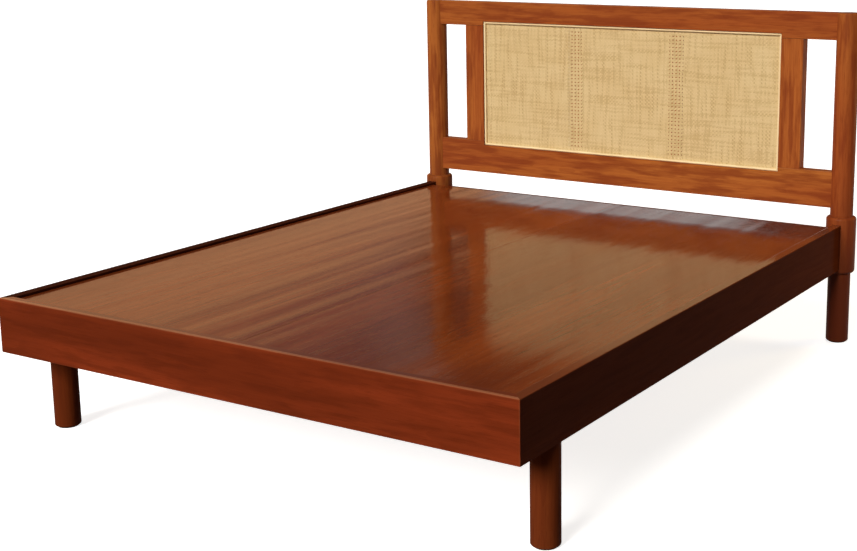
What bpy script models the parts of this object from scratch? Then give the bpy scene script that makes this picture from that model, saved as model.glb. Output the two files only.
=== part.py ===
"""Cane bed: a platform bed with turned head posts and a headboard of woven cane in a wooden frame.

Metres, +Z up. The bed stands on Z = 0, its foot end faces -Y, and the origin is on the floor
under the middle of its outer box.
"""

import bmesh
import bpy
from math import cos, pi, radians, sin
from mathutils import Vector

# Mattress that the well takes
MATTRESS_WIDTH = 1.600
MATTRESS_LENGTH = 2.000
MATTRESS_SIDE_PLAY = 0.005
MATTRESS_END_PLAY = 0.002

# Clearances
FIT = 0.0003
SLIP = 0.0015
BORE_CLEARANCE = 0.0005

# Rails round the deck
RAIL_THICKNESS = 0.030
RAIL_HEIGHT = 0.154
RAIL_UNDERSIDE = 0.257
EASED_EDGE = 0.002
HEAD_RAIL_FORWARD = 0.012

# Deck and what carries it
DECK_RECESS = 0.008
DECK_THICKNESS = 0.012
DECK_TO_COLLAR = 0.018
DECK_EDGE = 0.0008
BEARER_COUNT = 6
BEARER_WIDTH = 0.070
BEARER_THICKNESS = 0.020
LEDGER_WIDTH = 0.028
LEDGER_HEIGHT = 0.035
BEAM_WIDTH = 0.040
BEAM_HEIGHT = 0.060
BEAM_SEAT_WIDTH = 0.090
BEAM_SEAT_DEPTH = 0.040
BEAM_SEAT_HEIGHT = 0.034

# Legs and glides
FRONT_LEG_DIAMETER = 0.073
FRONT_LEG_SETBACK = 0.173
FRONT_LEG_INSET = 0.003
CENTRE_LEG_COUNT = 2
CENTRE_LEG_DIAMETER = 0.045
LEG_FOOT_ROUNDING = 0.005
GLIDE_THICKNESS = 0.003
GLIDE_MARGIN = 0.007

# Turned head posts
POST_DIAMETER = 0.076
COLLAR_DIAMETER = 0.100
POST_LEG_DIAMETER = 0.075
COLLAR_RISE = 0.024
COLLAR_DROP = 0.014
COLLAR_ROUNDING = 0.010
POST_TOP_ROUNDING = 0.006
POST_HOUSING_DEPTH = 0.011
COLLAR_HOUSING_DEPTH = 0.018

# Headboard frame
HEADBOARD_UNDERSIDE = 0.462
HEADBOARD_THICKNESS = 0.042
BOTTOM_RAIL_HEIGHT = 0.122
TOP_RAIL_FACE = 0.074
STILE_FACE = 0.078
POST_TO_STILE = 0.146
CANE_HEIGHT = 0.470
CANE_LAP = 0.016
BAY_COUNT = 3
MUNTIN_WIDTH = 0.050
BACK_PANEL_THICKNESS = 0.006
BACK_PANEL_LAP = 0.010
BACK_PANEL_SETBACK = 0.002

# Tenons
RAIL_TENON_SHOULDER = 0.011
RAIL_TENON_LENGTH = 0.020
STILE_TENON_SHOULDER = 0.014
STILE_TENON_LENGTH = 0.030
MUNTIN_TENON_SHOULDER = 0.005
MUNTIN_TENON_LENGTH = 0.018
HEAD_RAIL_TENON_SHOULDER = 0.008
HEAD_RAIL_TENON_LENGTH = 0.014

# Cane and the rattan beads that hold it
CANE_THICKNESS = 0.002
NET_COLUMNS = 24
NET_ROWS = 10
NET_STRAND = 0.026
BEAD_WIDTH = 0.008
BEAD_DEPTH = 0.008
BEAD_SETBACK = 0.004

# Bed bolts and barrel nuts
BED_BOLT_DIAMETER = 0.008
BED_BOLT_HEAD_DIAMETER = 0.018
BED_BOLT_HEAD_HEIGHT = 0.006
BED_BOLT_SINK = 0.014
BED_BOLT_EDGE = 0.040
BED_BOLT_REACH = 0.055
BARREL_NUT_DIAMETER = 0.014
BARREL_NUT_LENGTH = 0.022
BARREL_NUT_SETBACK = 0.040

# Blocks, hanger bolts and screws at the foot end
LEG_BLOCK_WIDTH = 0.075
LEG_BLOCK_LENGTH = 0.110
CORNER_BLOCK_SIZE = 0.060
HANGER_BOLT_DIAMETER = 0.010
HANGER_BOLT_DEPTH = 0.050
SCREW_DIAMETER = 0.005
SCREW_HEAD_DIAMETER = 0.010
SCREW_HEAD_HEIGHT = 0.003
SCREW_BITE = 0.018
SCREW_EDGE = 0.020

# Steps in one turn
POST_STEPS = 40
LEG_STEPS = 32
SMALL_STEPS = 16
ROUNDING_STEPS = 3
EASED_STEPS = 2
SMOOTH_ANGLE = radians(40)

# Plan
WELL_WIDTH = MATTRESS_WIDTH + 2 * MATTRESS_SIDE_PLAY
OUTER_X = WELL_WIDTH / 2 + RAIL_THICKNESS
INNER_X = WELL_WIDTH / 2
COLLAR_RADIUS = COLLAR_DIAMETER / 2
POST_RADIUS = POST_DIAMETER / 2
FOOT_TO_POST = RAIL_THICKNESS + MATTRESS_END_PLAY + MATTRESS_LENGTH + COLLAR_RADIUS
FRONT_Y = -(FOOT_TO_POST + COLLAR_RADIUS) / 2
WELL_FRONT_Y = FRONT_Y + RAIL_THICKNESS
POST_X = OUTER_X - RAIL_THICKNESS / 2
POST_Y = FRONT_Y + FOOT_TO_POST
COLLAR_FRONT_Y = POST_Y - COLLAR_RADIUS
DECK_END_Y = COLLAR_FRONT_Y - DECK_TO_COLLAR
COLLAR_FLOOR = COLLAR_RADIUS - COLLAR_HOUSING_DEPTH
POST_FLOOR = POST_RADIUS - POST_HOUSING_DEPTH
RAIL_END_Y = POST_Y - COLLAR_FLOOR - FIT
HEAD_RAIL_Y = POST_Y - HEAD_RAIL_FORWARD
HEAD_RAIL_FRONT_Y = HEAD_RAIL_Y - RAIL_THICKNESS / 2
HEAD_RAIL_BACK_Y = HEAD_RAIL_Y + RAIL_THICKNESS / 2
HEAD_RAIL_END_X = POST_X - COLLAR_FLOOR - FIT
FRONT_LEG_X = OUTER_X - FRONT_LEG_INSET - FRONT_LEG_DIAMETER / 2
FRONT_LEG_Y = FRONT_Y + FRONT_LEG_SETBACK

# Levels
RAIL_TOP = RAIL_UNDERSIDE + RAIL_HEIGHT
DECK_TOP = RAIL_TOP - DECK_RECESS
DECK_UNDER = DECK_TOP - DECK_THICKNESS
BEARER_TOP = DECK_UNDER - FIT
BEARER_UNDER = BEARER_TOP - BEARER_THICKNESS
LEDGER_TOP = BEARER_UNDER - FIT
LEDGER_UNDER = LEDGER_TOP - LEDGER_HEIGHT
BLOCK_TOP = LEDGER_UNDER - FIT
BEAM_UNDER = LEDGER_TOP - BEAM_HEIGHT
SEAT_TOP = BEAM_UNDER - FIT
LEG_BOTTOM = GLIDE_THICKNESS + FIT

# Headboard planes
FACE_Y = POST_Y - HEADBOARD_THICKNESS / 2
REAR_Y = POST_Y + HEADBOARD_THICKNESS / 2
CANE_FRONT_Y = FACE_Y + BEAD_SETBACK + BEAD_DEPTH + FIT
REBATE_Y = CANE_FRONT_Y + CANE_THICKNESS + FIT
BACK_REBATE_Y = REAR_Y - BACK_PANEL_SETBACK - BACK_PANEL_THICKNESS - FIT
BOTTOM_RAIL_TOP = HEADBOARD_UNDERSIDE + BOTTOM_RAIL_HEIGHT
REBATE_LOW = BOTTOM_RAIL_TOP - CANE_LAP
REBATE_HIGH = REBATE_LOW + CANE_HEIGHT
TOP_RAIL_UNDER = REBATE_HIGH - CANE_LAP
HEADBOARD_TOP = REBATE_HIGH + TOP_RAIL_FACE
STILE_OUTER_X = POST_X - POST_TO_STILE
CANE_WIDTH = 2 * (STILE_OUTER_X - STILE_FACE)
STILE_INNER_X = CANE_WIDTH / 2 - CANE_LAP
HEADBOARD_END_X = POST_X - POST_FLOOR - FIT

X = Vector((1, 0, 0))
Y = Vector((0, 1, 0))
Z = Vector((0, 0, 1))
SIDES = {"left": -1, "right": 1}

# Finish of each kind of piece: colour, roughness, metallic value
FINISHES = {
    "headboard_stain": ((0.30, 0.075, 0.018, 1), 0.30, 0.0),
    "rail_stain": ((0.17, 0.028, 0.008, 1), 0.28, 0.0),
    "deck_stain": ((0.22, 0.050, 0.014, 1), 0.16, 0.0),
    "leg_stain": ((0.15, 0.028, 0.008, 1), 0.30, 0.0),
    "plain_wood": ((0.50, 0.32, 0.16, 1), 0.70, 0.0),
    "back_board": ((0.55, 0.36, 0.18, 1), 0.60, 0.0),
    "cane": ((0.68, 0.48, 0.22, 1), 0.55, 0.0),
    "rattan": ((0.74, 0.55, 0.28, 1), 0.45, 0.0),
    "steel": ((0.45, 0.45, 0.46, 1), 0.35, 1.0),
    "felt": ((0.08, 0.06, 0.05, 1), 0.95, 0.0),
}


def clear_scene():
    """Empty the scene."""
    for item in list(bpy.data.objects):
        bpy.data.objects.remove(item, do_unlink=True)


def make_materials():
    """One Principled material for each finish."""
    made = {}
    for name, (colour, roughness, metallic) in FINISHES.items():
        material = bpy.data.materials.new(name)
        material.use_nodes = True
        shader = material.node_tree.nodes["Principled BSDF"]
        shader.inputs["Base Color"].default_value = colour
        shader.inputs["Roughness"].default_value = roughness
        shader.inputs["Metallic"].default_value = metallic
        material.diffuse_color = colour
        made[name] = material
    return made


def add_object(name, shape, location):
    """Put a shape drawn in bed coordinates into the scene, with its origin at location."""
    bmesh.ops.recalc_face_normals(shape, faces=shape.faces)
    bmesh.ops.translate(shape, vec=-Vector(location), verts=shape.verts)
    mesh = bpy.data.meshes.new(name)
    shape.to_mesh(mesh)
    shape.free()
    item = bpy.data.objects.new(name, mesh)
    item.location = location
    bpy.context.scene.collection.objects.link(item)
    return item


def add_piece(name, shape, location, finish):
    """A sub-part of the bed, carried by the bed's empty."""
    item = add_object(name, shape, location)
    item.data.materials.append(MATERIALS[finish])
    item.parent = BED
    return item


def add_round(name, shape, location, finish):
    """A turned sub-part, shaded smooth up to its arrises."""
    item = add_piece(name, shape, location, finish)
    item.data.shade_smooth()
    item.data.set_sharp_from_angle(angle=SMOOTH_ANGLE)
    return item


def box(low, high):
    """A plain box between two corners."""
    low = Vector(low)
    high = Vector(high)
    shape = bmesh.new()
    bmesh.ops.create_cube(shape, size=1.0)
    bmesh.ops.scale(shape, vec=high - low, verts=shape.verts)
    bmesh.ops.translate(shape, vec=(low + high) / 2, verts=shape.verts)
    return shape


def middle(low, high):
    """The point half way between two corners."""
    return (Vector(low) + Vector(high)) / 2


def round_edges(shape, edges, width, steps):
    """Round a shape's edges."""
    bmesh.ops.bevel(
        shape,
        geom=edges,
        offset=width,
        segments=steps,
        profile=0.5,
        affect="EDGES",
        material=-1,
    )


def grow_tenon(shape, direction, shoulder, length):
    """Draw a tenon out of the end that faces a direction, inside a shoulder all round."""
    end = max(shape.faces, key=lambda face: face.calc_center_median().dot(direction))
    bmesh.ops.inset_individual(shape, faces=[end], thickness=shoulder, use_even_offset=True)
    grown = bmesh.ops.extrude_face_region(shape, geom=[end])
    tip = [part for part in grown["geom"] if isinstance(part, bmesh.types.BMVert)]
    bmesh.ops.translate(shape, vec=direction * length, verts=tip)
    bmesh.ops.delete(shape, geom=[end], context="FACES_ONLY")


def bar(low, high, direction, ease=EASED_EDGE, shoulder=0, tenon=0):
    """A bar whose long edges are rounded, with a tenon at each end where a length is given."""
    shape = box(low, high)
    if tenon:
        grow_tenon(shape, direction, shoulder, tenon)
        grow_tenon(shape, -direction, shoulder, tenon)
    length = (Vector(high) - Vector(low)).dot(direction)
    long_edges = []
    for edge in shape.edges:
        run = edge.verts[1].co - edge.verts[0].co
        if abs(run.dot(direction)) > length - FIT:
            long_edges.append(edge)
    round_edges(shape, long_edges, ease, EASED_STEPS)
    return shape


def trim(shape, point, outward):
    """Cut a shape off flat at a plane, and close the cut."""
    parts = shape.verts[:] + shape.edges[:] + shape.faces[:]
    bmesh.ops.bisect_plane(
        shape, geom=parts, plane_co=point, plane_no=outward, clear_outer=True
    )
    rim = [edge for edge in shape.edges if edge.is_boundary]
    bmesh.ops.holes_fill(shape, edges=rim, sides=0)


def rounding(centre_radius, centre_height, radius, start, end):
    """Points of a turned quarter round, as pairs of radius and height."""
    points = []
    for step in range(ROUNDING_STEPS + 1):
        angle = start + (end - start) * step / ROUNDING_STEPS
        points.append((centre_radius + radius * cos(angle), centre_height + radius * sin(angle)))
    return points


def turned(profile, steps):
    """Turn a profile of radius and height, top to bottom, once round the Z axis."""
    shape = bmesh.new()
    points = [shape.verts.new((radius, 0, height)) for radius, height in profile]
    line = [shape.edges.new(pair) for pair in zip(points, points[1:])]
    bmesh.ops.spin(
        shape,
        geom=points + line,
        cent=(0, 0, 0),
        axis=Z,
        angle=2 * pi,
        steps=steps,
        use_merge=True,
    )
    bmesh.ops.remove_doubles(shape, verts=shape.verts, dist=FIT / 10)
    return shape


def cylinder(start, end, radius, steps):
    """A plain round bar between two points."""
    start = Vector(start)
    end = Vector(end)
    shape = bmesh.new()
    bmesh.ops.create_cone(
        shape,
        cap_ends=True,
        segments=steps,
        radius1=radius,
        radius2=radius,
        depth=(end - start).length,
    )
    turn = (end - start).to_track_quat("Z", "Y").to_matrix()
    bmesh.ops.rotate(shape, matrix=turn, verts=shape.verts)
    bmesh.ops.translate(shape, vec=(start + end) / 2, verts=shape.verts)
    return shape


def headed_bar(start, direction, shaft_radius, length, head_radius, head_height):
    """A bolt or screw: start is under its head, and the shaft runs along the direction."""
    profile = [
        (0, head_height),
        (head_radius, head_height),
        (head_radius, 0),
        (shaft_radius, 0),
        (shaft_radius, -length),
        (0, -length),
    ]
    shape = turned(profile, SMALL_STEPS)
    turn = (-direction).to_track_quat("Z", "Y").to_matrix()
    bmesh.ops.rotate(shape, matrix=turn, verts=shape.verts)
    bmesh.ops.translate(shape, vec=start, verts=shape.verts)
    return shape


def cutter(name, shape):
    """A hidden shape that cuts others."""
    item = add_object(name, shape, (0, 0, 0))
    item.hide_render = True
    item.display_type = "WIRE"
    return item


def cut(tool, *pieces):
    """Take a cutter's shape out of each piece."""
    for piece in pieces:
        step = piece.modifiers.new(tool.name, "BOOLEAN")
        step.operation = "DIFFERENCE"
        step.solver = "EXACT"
        step.object = tool


def bore(name, start, end, diameter, *pieces):
    """Drill each piece from start to end."""
    tool = cutter(name, cylinder(start, end, diameter / 2, SMALL_STEPS))
    cut(tool, *pieces)


def mirrored_box(side, low, high):
    """Corners of a box given for the right side, moved to the side asked for."""
    if side > 0:
        return Vector(low), Vector(high)
    return Vector((-high[0], low[1], low[2])), Vector((-low[0], high[1], high[2]))


def grown(low, high, by):
    """A box's corners moved out by a clearance."""
    out = Vector((by, by, by))
    return Vector(low) - out, Vector(high) + out


def make_post(name, side):
    """A turned post: leg, collar that the rails run into, and upright flush with the headboard's top."""
    collar_top = RAIL_TOP + COLLAR_RISE
    collar_bottom = RAIL_UNDERSIDE - COLLAR_DROP
    leg_radius = POST_LEG_DIAMETER / 2
    crown_radius = POST_RADIUS - POST_TOP_ROUNDING
    profile = [(0, HEADBOARD_TOP)]
    profile += rounding(
        crown_radius, HEADBOARD_TOP - POST_TOP_ROUNDING, POST_TOP_ROUNDING, pi / 2, 0
    )
    profile.append((POST_RADIUS, collar_top))
    profile += rounding(
        COLLAR_RADIUS - COLLAR_ROUNDING, collar_top - COLLAR_ROUNDING, COLLAR_ROUNDING, pi / 2, 0
    )
    profile += rounding(
        COLLAR_RADIUS - COLLAR_ROUNDING, collar_bottom + COLLAR_ROUNDING, COLLAR_ROUNDING, 0, -pi / 2
    )
    profile.append((leg_radius, collar_bottom))
    profile += rounding(
        leg_radius - LEG_FOOT_ROUNDING, LEG_BOTTOM + LEG_FOOT_ROUNDING, LEG_FOOT_ROUNDING, 0, -pi / 2
    )
    profile.append((0, LEG_BOTTOM))
    shape = turned(profile, POST_STEPS)
    axis = (side * POST_X, POST_Y, 0)
    bmesh.ops.translate(shape, vec=axis, verts=shape.verts)
    return add_round(name, shape, axis, "headboard_stain")


def make_leg(name, axis, diameter, top, finish):
    """A plain turned leg with a rounded foot."""
    radius = diameter / 2
    profile = [(0, top), (radius, top)]
    profile += rounding(
        radius - LEG_FOOT_ROUNDING, LEG_BOTTOM + LEG_FOOT_ROUNDING, LEG_FOOT_ROUNDING, 0, -pi / 2
    )
    profile.append((0, LEG_BOTTOM))
    shape = turned(profile, LEG_STEPS)
    bmesh.ops.translate(shape, vec=axis, verts=shape.verts)
    return add_round(name, shape, axis, finish)


def make_glide(name, axis, leg_diameter):
    """A felt disc under a leg."""
    foot = Vector((axis[0], axis[1], 0))
    radius = leg_diameter / 2 - GLIDE_MARGIN
    shape = cylinder(foot, foot + Z * GLIDE_THICKNESS, radius, LEG_STEPS)
    return add_round(name, shape, foot, "felt")


def make_tenoned(name, low, high, direction, shoulder, tenon, finish):
    """A bar with a tenon at each end."""
    shape = bar(low, high, direction, EASED_EDGE, shoulder, tenon)
    return add_piece(name, shape, middle(low, high), finish)


def mortise(name, low, high, direction, shoulder, length, *pieces):
    """Cut the pocket for a bar's tenon: low and high are the bar's own corners."""
    along = Vector([abs(part) for part in direction])
    across = Vector((1, 1, 1)) - along
    inset = across * (shoulder - FIT)
    reach = direction * (length + FIT)
    near = Vector(low) + inset
    far = Vector(high) - inset
    if direction.dot(along) > 0:
        far += reach
    else:
        near += reach
    cut(cutter(name, box(near, far)), *pieces)


def make_headboard(posts):
    """The frame between the posts, with its muntins, back board, cane and beads."""
    bottom_low = (-HEADBOARD_END_X, FACE_Y, HEADBOARD_UNDERSIDE)
    bottom_high = (HEADBOARD_END_X, REAR_Y, BOTTOM_RAIL_TOP)
    top_low = (-HEADBOARD_END_X, FACE_Y, TOP_RAIL_UNDER)
    top_high = (HEADBOARD_END_X, REAR_Y, HEADBOARD_TOP)
    rails = []
    for name, low, high in (
        ("headboard_bottom_rail", bottom_low, bottom_high),
        ("headboard_top_rail", top_low, top_high),
    ):
        rail = make_tenoned(
            name, low, high, X, RAIL_TENON_SHOULDER, RAIL_TENON_LENGTH, "headboard_stain"
        )
        rails.append(rail)
        cut(cutter(name + "_housing", box(*grown(low, high, FIT))), *posts)
        for end, run in (("left", -X), ("right", X)):
            mortise(
                f"{name}_{end}_mortise", low, high, run, RAIL_TENON_SHOULDER, RAIL_TENON_LENGTH, *posts
            )

    frame = list(rails)
    for label, side in SIDES.items():
        low, high = mirrored_box(
            side,
            (STILE_INNER_X, FACE_Y, BOTTOM_RAIL_TOP + FIT),
            (STILE_OUTER_X, REAR_Y, TOP_RAIL_UNDER - FIT),
        )
        name = f"{label}_stile"
        stile = make_tenoned(
            name, low, high, Z, STILE_TENON_SHOULDER, STILE_TENON_LENGTH, "headboard_stain"
        )
        frame.append(stile)
        for run, rail in ((-Z, rails[0]), (Z, rails[1])):
            mortise(
                f"{name}_{rail.name}", low, high, run, STILE_TENON_SHOULDER, STILE_TENON_LENGTH, rail
            )

    half = CANE_WIDTH / 2
    front = box((-half, FACE_Y - SLIP, REBATE_LOW), (half, REBATE_Y, REBATE_HIGH))
    cut(cutter("cane_rebate", front), *frame)
    board_x = STILE_INNER_X + BACK_PANEL_LAP
    board_low = BOTTOM_RAIL_TOP - BACK_PANEL_LAP
    board_high = TOP_RAIL_UNDER + BACK_PANEL_LAP
    back = box((-board_x, BACK_REBATE_Y, board_low), (board_x, REAR_Y + SLIP, board_high))
    cut(cutter("back_rebate", back), *frame)

    low = (-board_x + FIT, BACK_REBATE_Y + FIT, board_low + FIT)
    high = (board_x - FIT, BACK_REBATE_Y + FIT + BACK_PANEL_THICKNESS, board_high - FIT)
    add_piece("back_panel", box(low, high), middle(low, high), "back_board")

    bay = CANE_WIDTH / BAY_COUNT
    for number in range(1, BAY_COUNT):
        centre = -half + bay * number
        low = (centre - MUNTIN_WIDTH / 2, REBATE_Y, BOTTOM_RAIL_TOP + FIT)
        high = (centre + MUNTIN_WIDTH / 2, BACK_REBATE_Y, TOP_RAIL_UNDER - FIT)
        name = f"muntin_{number}"
        make_tenoned(
            name, low, high, Z, MUNTIN_TENON_SHOULDER, MUNTIN_TENON_LENGTH, "headboard_stain"
        )
        for run, rail in ((-Z, rails[0]), (Z, rails[1])):
            mortise(
                f"{name}_{rail.name}", low, high, run, MUNTIN_TENON_SHOULDER, MUNTIN_TENON_LENGTH, rail
            )

    make_cane()
    make_beads()


def make_cane():
    """The cane as a flat open net that fills the rebate, behind the beads."""
    shape = bmesh.new()
    bmesh.ops.create_grid(shape, x_segments=NET_COLUMNS, y_segments=NET_ROWS, size=0.5)
    size = Vector((CANE_WIDTH - 2 * FIT, CANE_HEIGHT - 2 * FIT, 1))
    bmesh.ops.scale(shape, vec=size, verts=shape.verts)
    cells = shape.faces[:]
    bmesh.ops.inset_individual(shape, faces=cells, thickness=NET_STRAND / 2, use_even_offset=True)
    bmesh.ops.delete(shape, geom=cells, context="FACES")
    item = add_piece("cane_panel", shape, (0, 0, 0), "cane")
    item.rotation_euler.x = radians(90)
    centre_y = CANE_FRONT_Y + CANE_THICKNESS / 2
    item.location = (0, centre_y, (REBATE_LOW + REBATE_HIGH) / 2)
    wall = item.modifiers.new("thickness", "SOLIDIFY")
    wall.thickness = CANE_THICKNESS
    wall.offset = 0


def make_beads():
    """Four half-round rattan beads, mitred round the edge of the cane."""
    half = Vector((CANE_WIDTH / 2 - FIT, 0, CANE_HEIGHT / 2 - FIT))
    front = FACE_Y + BEAD_SETBACK
    centre = Vector((0, front + BEAD_DEPTH / 2, (REBATE_LOW + REBATE_HIGH) / 2))
    for name, run, outer in (
        ("bead_bottom", X, -Z),
        ("bead_top", X, Z),
        ("bead_left", Z, -X),
        ("bead_right", Z, X),
    ):
        length = half.dot(run)
        reach = abs(half.dot(outer))
        place = centre + outer * (reach - BEAD_WIDTH / 2)
        spread = run * length + (X + Z - run) * BEAD_WIDTH / 2 + Y * BEAD_DEPTH / 2
        shape = box(place - spread, place + spread)
        crown = [
            edge
            for edge in shape.edges
            if abs((edge.verts[1].co - edge.verts[0].co).dot(run)) > length
            and edge.verts[0].co.y < place.y
        ]
        round_edges(shape, crown, BEAD_WIDTH / 2 - FIT, ROUNDING_STEPS)
        for end in (-1, 1):
            corner = centre + outer * reach + run * length * end
            outward = (run * end - outer).normalized()
            trim(shape, corner - outward * FIT / 2, outward)
        add_piece(name, shape, place, "rattan")


def make_rails(posts):
    """Footboard and side rails mitred at the foot end, and the head rail between the posts."""
    low = (-OUTER_X, FRONT_Y, RAIL_UNDERSIDE)
    high = (OUTER_X, WELL_FRONT_Y, RAIL_TOP)
    board = bar(low, high, X)
    for side in SIDES.values():
        corner = Vector((side * OUTER_X, FRONT_Y, RAIL_UNDERSIDE))
        outward = Vector((side, 1, 0)).normalized()
        trim(board, corner - outward * FIT / 2, outward)
    footboard = add_piece("footboard", board, middle(low, high), "rail_stain")

    side_rails = {}
    for label, side in SIDES.items():
        low, high = mirrored_box(
            side,
            (INNER_X, FRONT_Y, RAIL_UNDERSIDE),
            (OUTER_X, RAIL_END_Y, RAIL_TOP),
        )
        rail = bar(low, high, Y)
        corner = Vector((side * OUTER_X, FRONT_Y, RAIL_UNDERSIDE))
        outward = Vector((-side, -1, 0)).normalized()
        trim(rail, corner - outward * FIT / 2, outward)
        name = f"{label}_side_rail"
        side_rails[label] = add_piece(name, rail, middle(low, high), "rail_stain")
        cut(cutter(name + "_housing", box(*grown(low, high, FIT))), posts[label])

    low = (-HEAD_RAIL_END_X, HEAD_RAIL_FRONT_Y, RAIL_UNDERSIDE)
    high = (HEAD_RAIL_END_X, HEAD_RAIL_BACK_Y, BEARER_TOP)
    make_tenoned(
        "head_rail", low, high, X, HEAD_RAIL_TENON_SHOULDER, HEAD_RAIL_TENON_LENGTH, "rail_stain"
    )
    cut(cutter("head_rail_housing", box(*grown(low, high, FIT))), *posts.values())
    for end, run in (("left", -X), ("right", X)):
        mortise(
            f"head_rail_{end}_mortise",
            low,
            high,
            run,
            HEAD_RAIL_TENON_SHOULDER,
            HEAD_RAIL_TENON_LENGTH,
            *posts.values(),
        )
    return footboard, side_rails


def make_deck():
    """Two deck panels that end in front of the posts, with the ledgers and bearers under them."""
    for label, side in SIDES.items():
        low, high = mirrored_box(
            side,
            (FIT, WELL_FRONT_Y + SLIP, DECK_UNDER),
            (INNER_X - SLIP, DECK_END_Y, DECK_TOP),
        )
        add_piece(
            f"{label}_deck", bar(low, high, Y, DECK_EDGE), middle(low, high), "deck_stain"
        )

        low, high = mirrored_box(
            side,
            (INNER_X - FIT - LEDGER_WIDTH, WELL_FRONT_Y + FIT, LEDGER_UNDER),
            (INNER_X - FIT, DECK_END_Y, LEDGER_TOP),
        )
        add_piece(f"{label}_ledger", bar(low, high, Y), middle(low, high), "plain_wood")

    first = WELL_FRONT_Y + SLIP
    last = DECK_END_Y - BEARER_WIDTH
    pitch = (last - first) / (BEARER_COUNT - 1)
    for number in range(BEARER_COUNT):
        near = first + pitch * number
        low = (-INNER_X + SLIP, near, BEARER_UNDER)
        high = (INNER_X - SLIP, near + BEARER_WIDTH, BEARER_TOP)
        add_piece(
            f"bearer_{number + 1}", bar(low, high, X), middle(low, high), "plain_wood"
        )


def make_centre_beam():
    """The beam down the middle, its end seats and its legs."""
    near = WELL_FRONT_Y + FIT
    far = HEAD_RAIL_FRONT_Y - FIT
    half = BEAM_WIDTH / 2
    low = (-half, near, BEAM_UNDER)
    high = (half, far, LEDGER_TOP)
    add_piece("centre_beam", bar(low, high, Y), middle(low, high), "plain_wood")
    half = BEAM_SEAT_WIDTH / 2
    for name, start in (("foot_beam_seat", near), ("head_beam_seat", far - BEAM_SEAT_DEPTH)):
        low = (-half, start, SEAT_TOP - BEAM_SEAT_HEIGHT)
        high = (half, start + BEAM_SEAT_DEPTH, SEAT_TOP)
        add_piece(name, bar(low, high, X), middle(low, high), "plain_wood")
    bay = (far - near) / (CENTRE_LEG_COUNT + 1)
    for number in range(1, CENTRE_LEG_COUNT + 1):
        axis = (0, near + bay * number, 0)
        make_leg(
            f"centre_leg_{number}", axis, CENTRE_LEG_DIAMETER, BEAM_UNDER - FIT, "leg_stain"
        )
        make_glide(f"centre_glide_{number}", axis, CENTRE_LEG_DIAMETER)


def make_foot_corner(label, side, footboard, rail):
    """Corner block with its screws, and the front leg on its own block and hanger bolt."""
    wall_x = INNER_X - FIT
    wall_y = WELL_FRONT_Y + FIT
    low, high = mirrored_box(
        side,
        (wall_x - CORNER_BLOCK_SIZE, wall_y, RAIL_UNDERSIDE),
        (wall_x, wall_y + CORNER_BLOCK_SIZE, BLOCK_TOP),
    )
    corner = add_piece(
        f"{label}_corner_block", bar(low, high, Z), middle(low, high), "plain_wood"
    )
    reach = CORNER_BLOCK_SIZE + SCREW_BITE
    centre = middle(low, high)
    into_rail = Vector((side * (wall_x - CORNER_BLOCK_SIZE - FIT), centre.y, BLOCK_TOP - SCREW_EDGE))
    into_foot = Vector((centre.x, wall_y + CORNER_BLOCK_SIZE + FIT, RAIL_UNDERSIDE + SCREW_EDGE))
    for name, start, run, board in (
        (f"{label}_rail_screw", into_rail, X * side, rail),
        (f"{label}_footboard_screw", into_foot, -Y, footboard),
    ):
        screw = headed_bar(
            start, run, SCREW_DIAMETER / 2, reach, SCREW_HEAD_DIAMETER / 2, SCREW_HEAD_HEIGHT
        )
        add_round(name, screw, start, "steel")
        drill = SCREW_DIAMETER + 2 * BORE_CLEARANCE
        bore(name + "_bore", start - run * SLIP, start + run * (reach + SLIP), drill, corner, board)

    axis = Vector((side * FRONT_LEG_X, FRONT_LEG_Y, 0))
    leg_top = RAIL_UNDERSIDE - FIT
    leg = make_leg(f"{label}_front_leg", axis, FRONT_LEG_DIAMETER, leg_top, "leg_stain")
    make_glide(f"{label}_front_glide", axis, FRONT_LEG_DIAMETER)
    low, high = mirrored_box(
        side,
        (wall_x - LEG_BLOCK_WIDTH, FRONT_LEG_Y - LEG_BLOCK_LENGTH / 2, RAIL_UNDERSIDE),
        (wall_x, FRONT_LEG_Y + LEG_BLOCK_LENGTH / 2, BLOCK_TOP),
    )
    block = add_piece(
        f"{label}_leg_block", bar(low, high, Z), middle(low, high), "plain_wood"
    )
    start = axis + Z * (leg_top - HANGER_BOLT_DEPTH)
    end = axis + Z * (BLOCK_TOP - EASED_EDGE)
    bolt = cylinder(start, end, HANGER_BOLT_DIAMETER / 2, SMALL_STEPS)
    add_round(f"{label}_hanger_bolt", bolt, start, "steel")
    drill = HANGER_BOLT_DIAMETER + 2 * BORE_CLEARANCE
    bore(f"{label}_hanger_bore", start - Z * SLIP, end + Z * 2 * EASED_EDGE, drill, leg, block)


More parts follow.
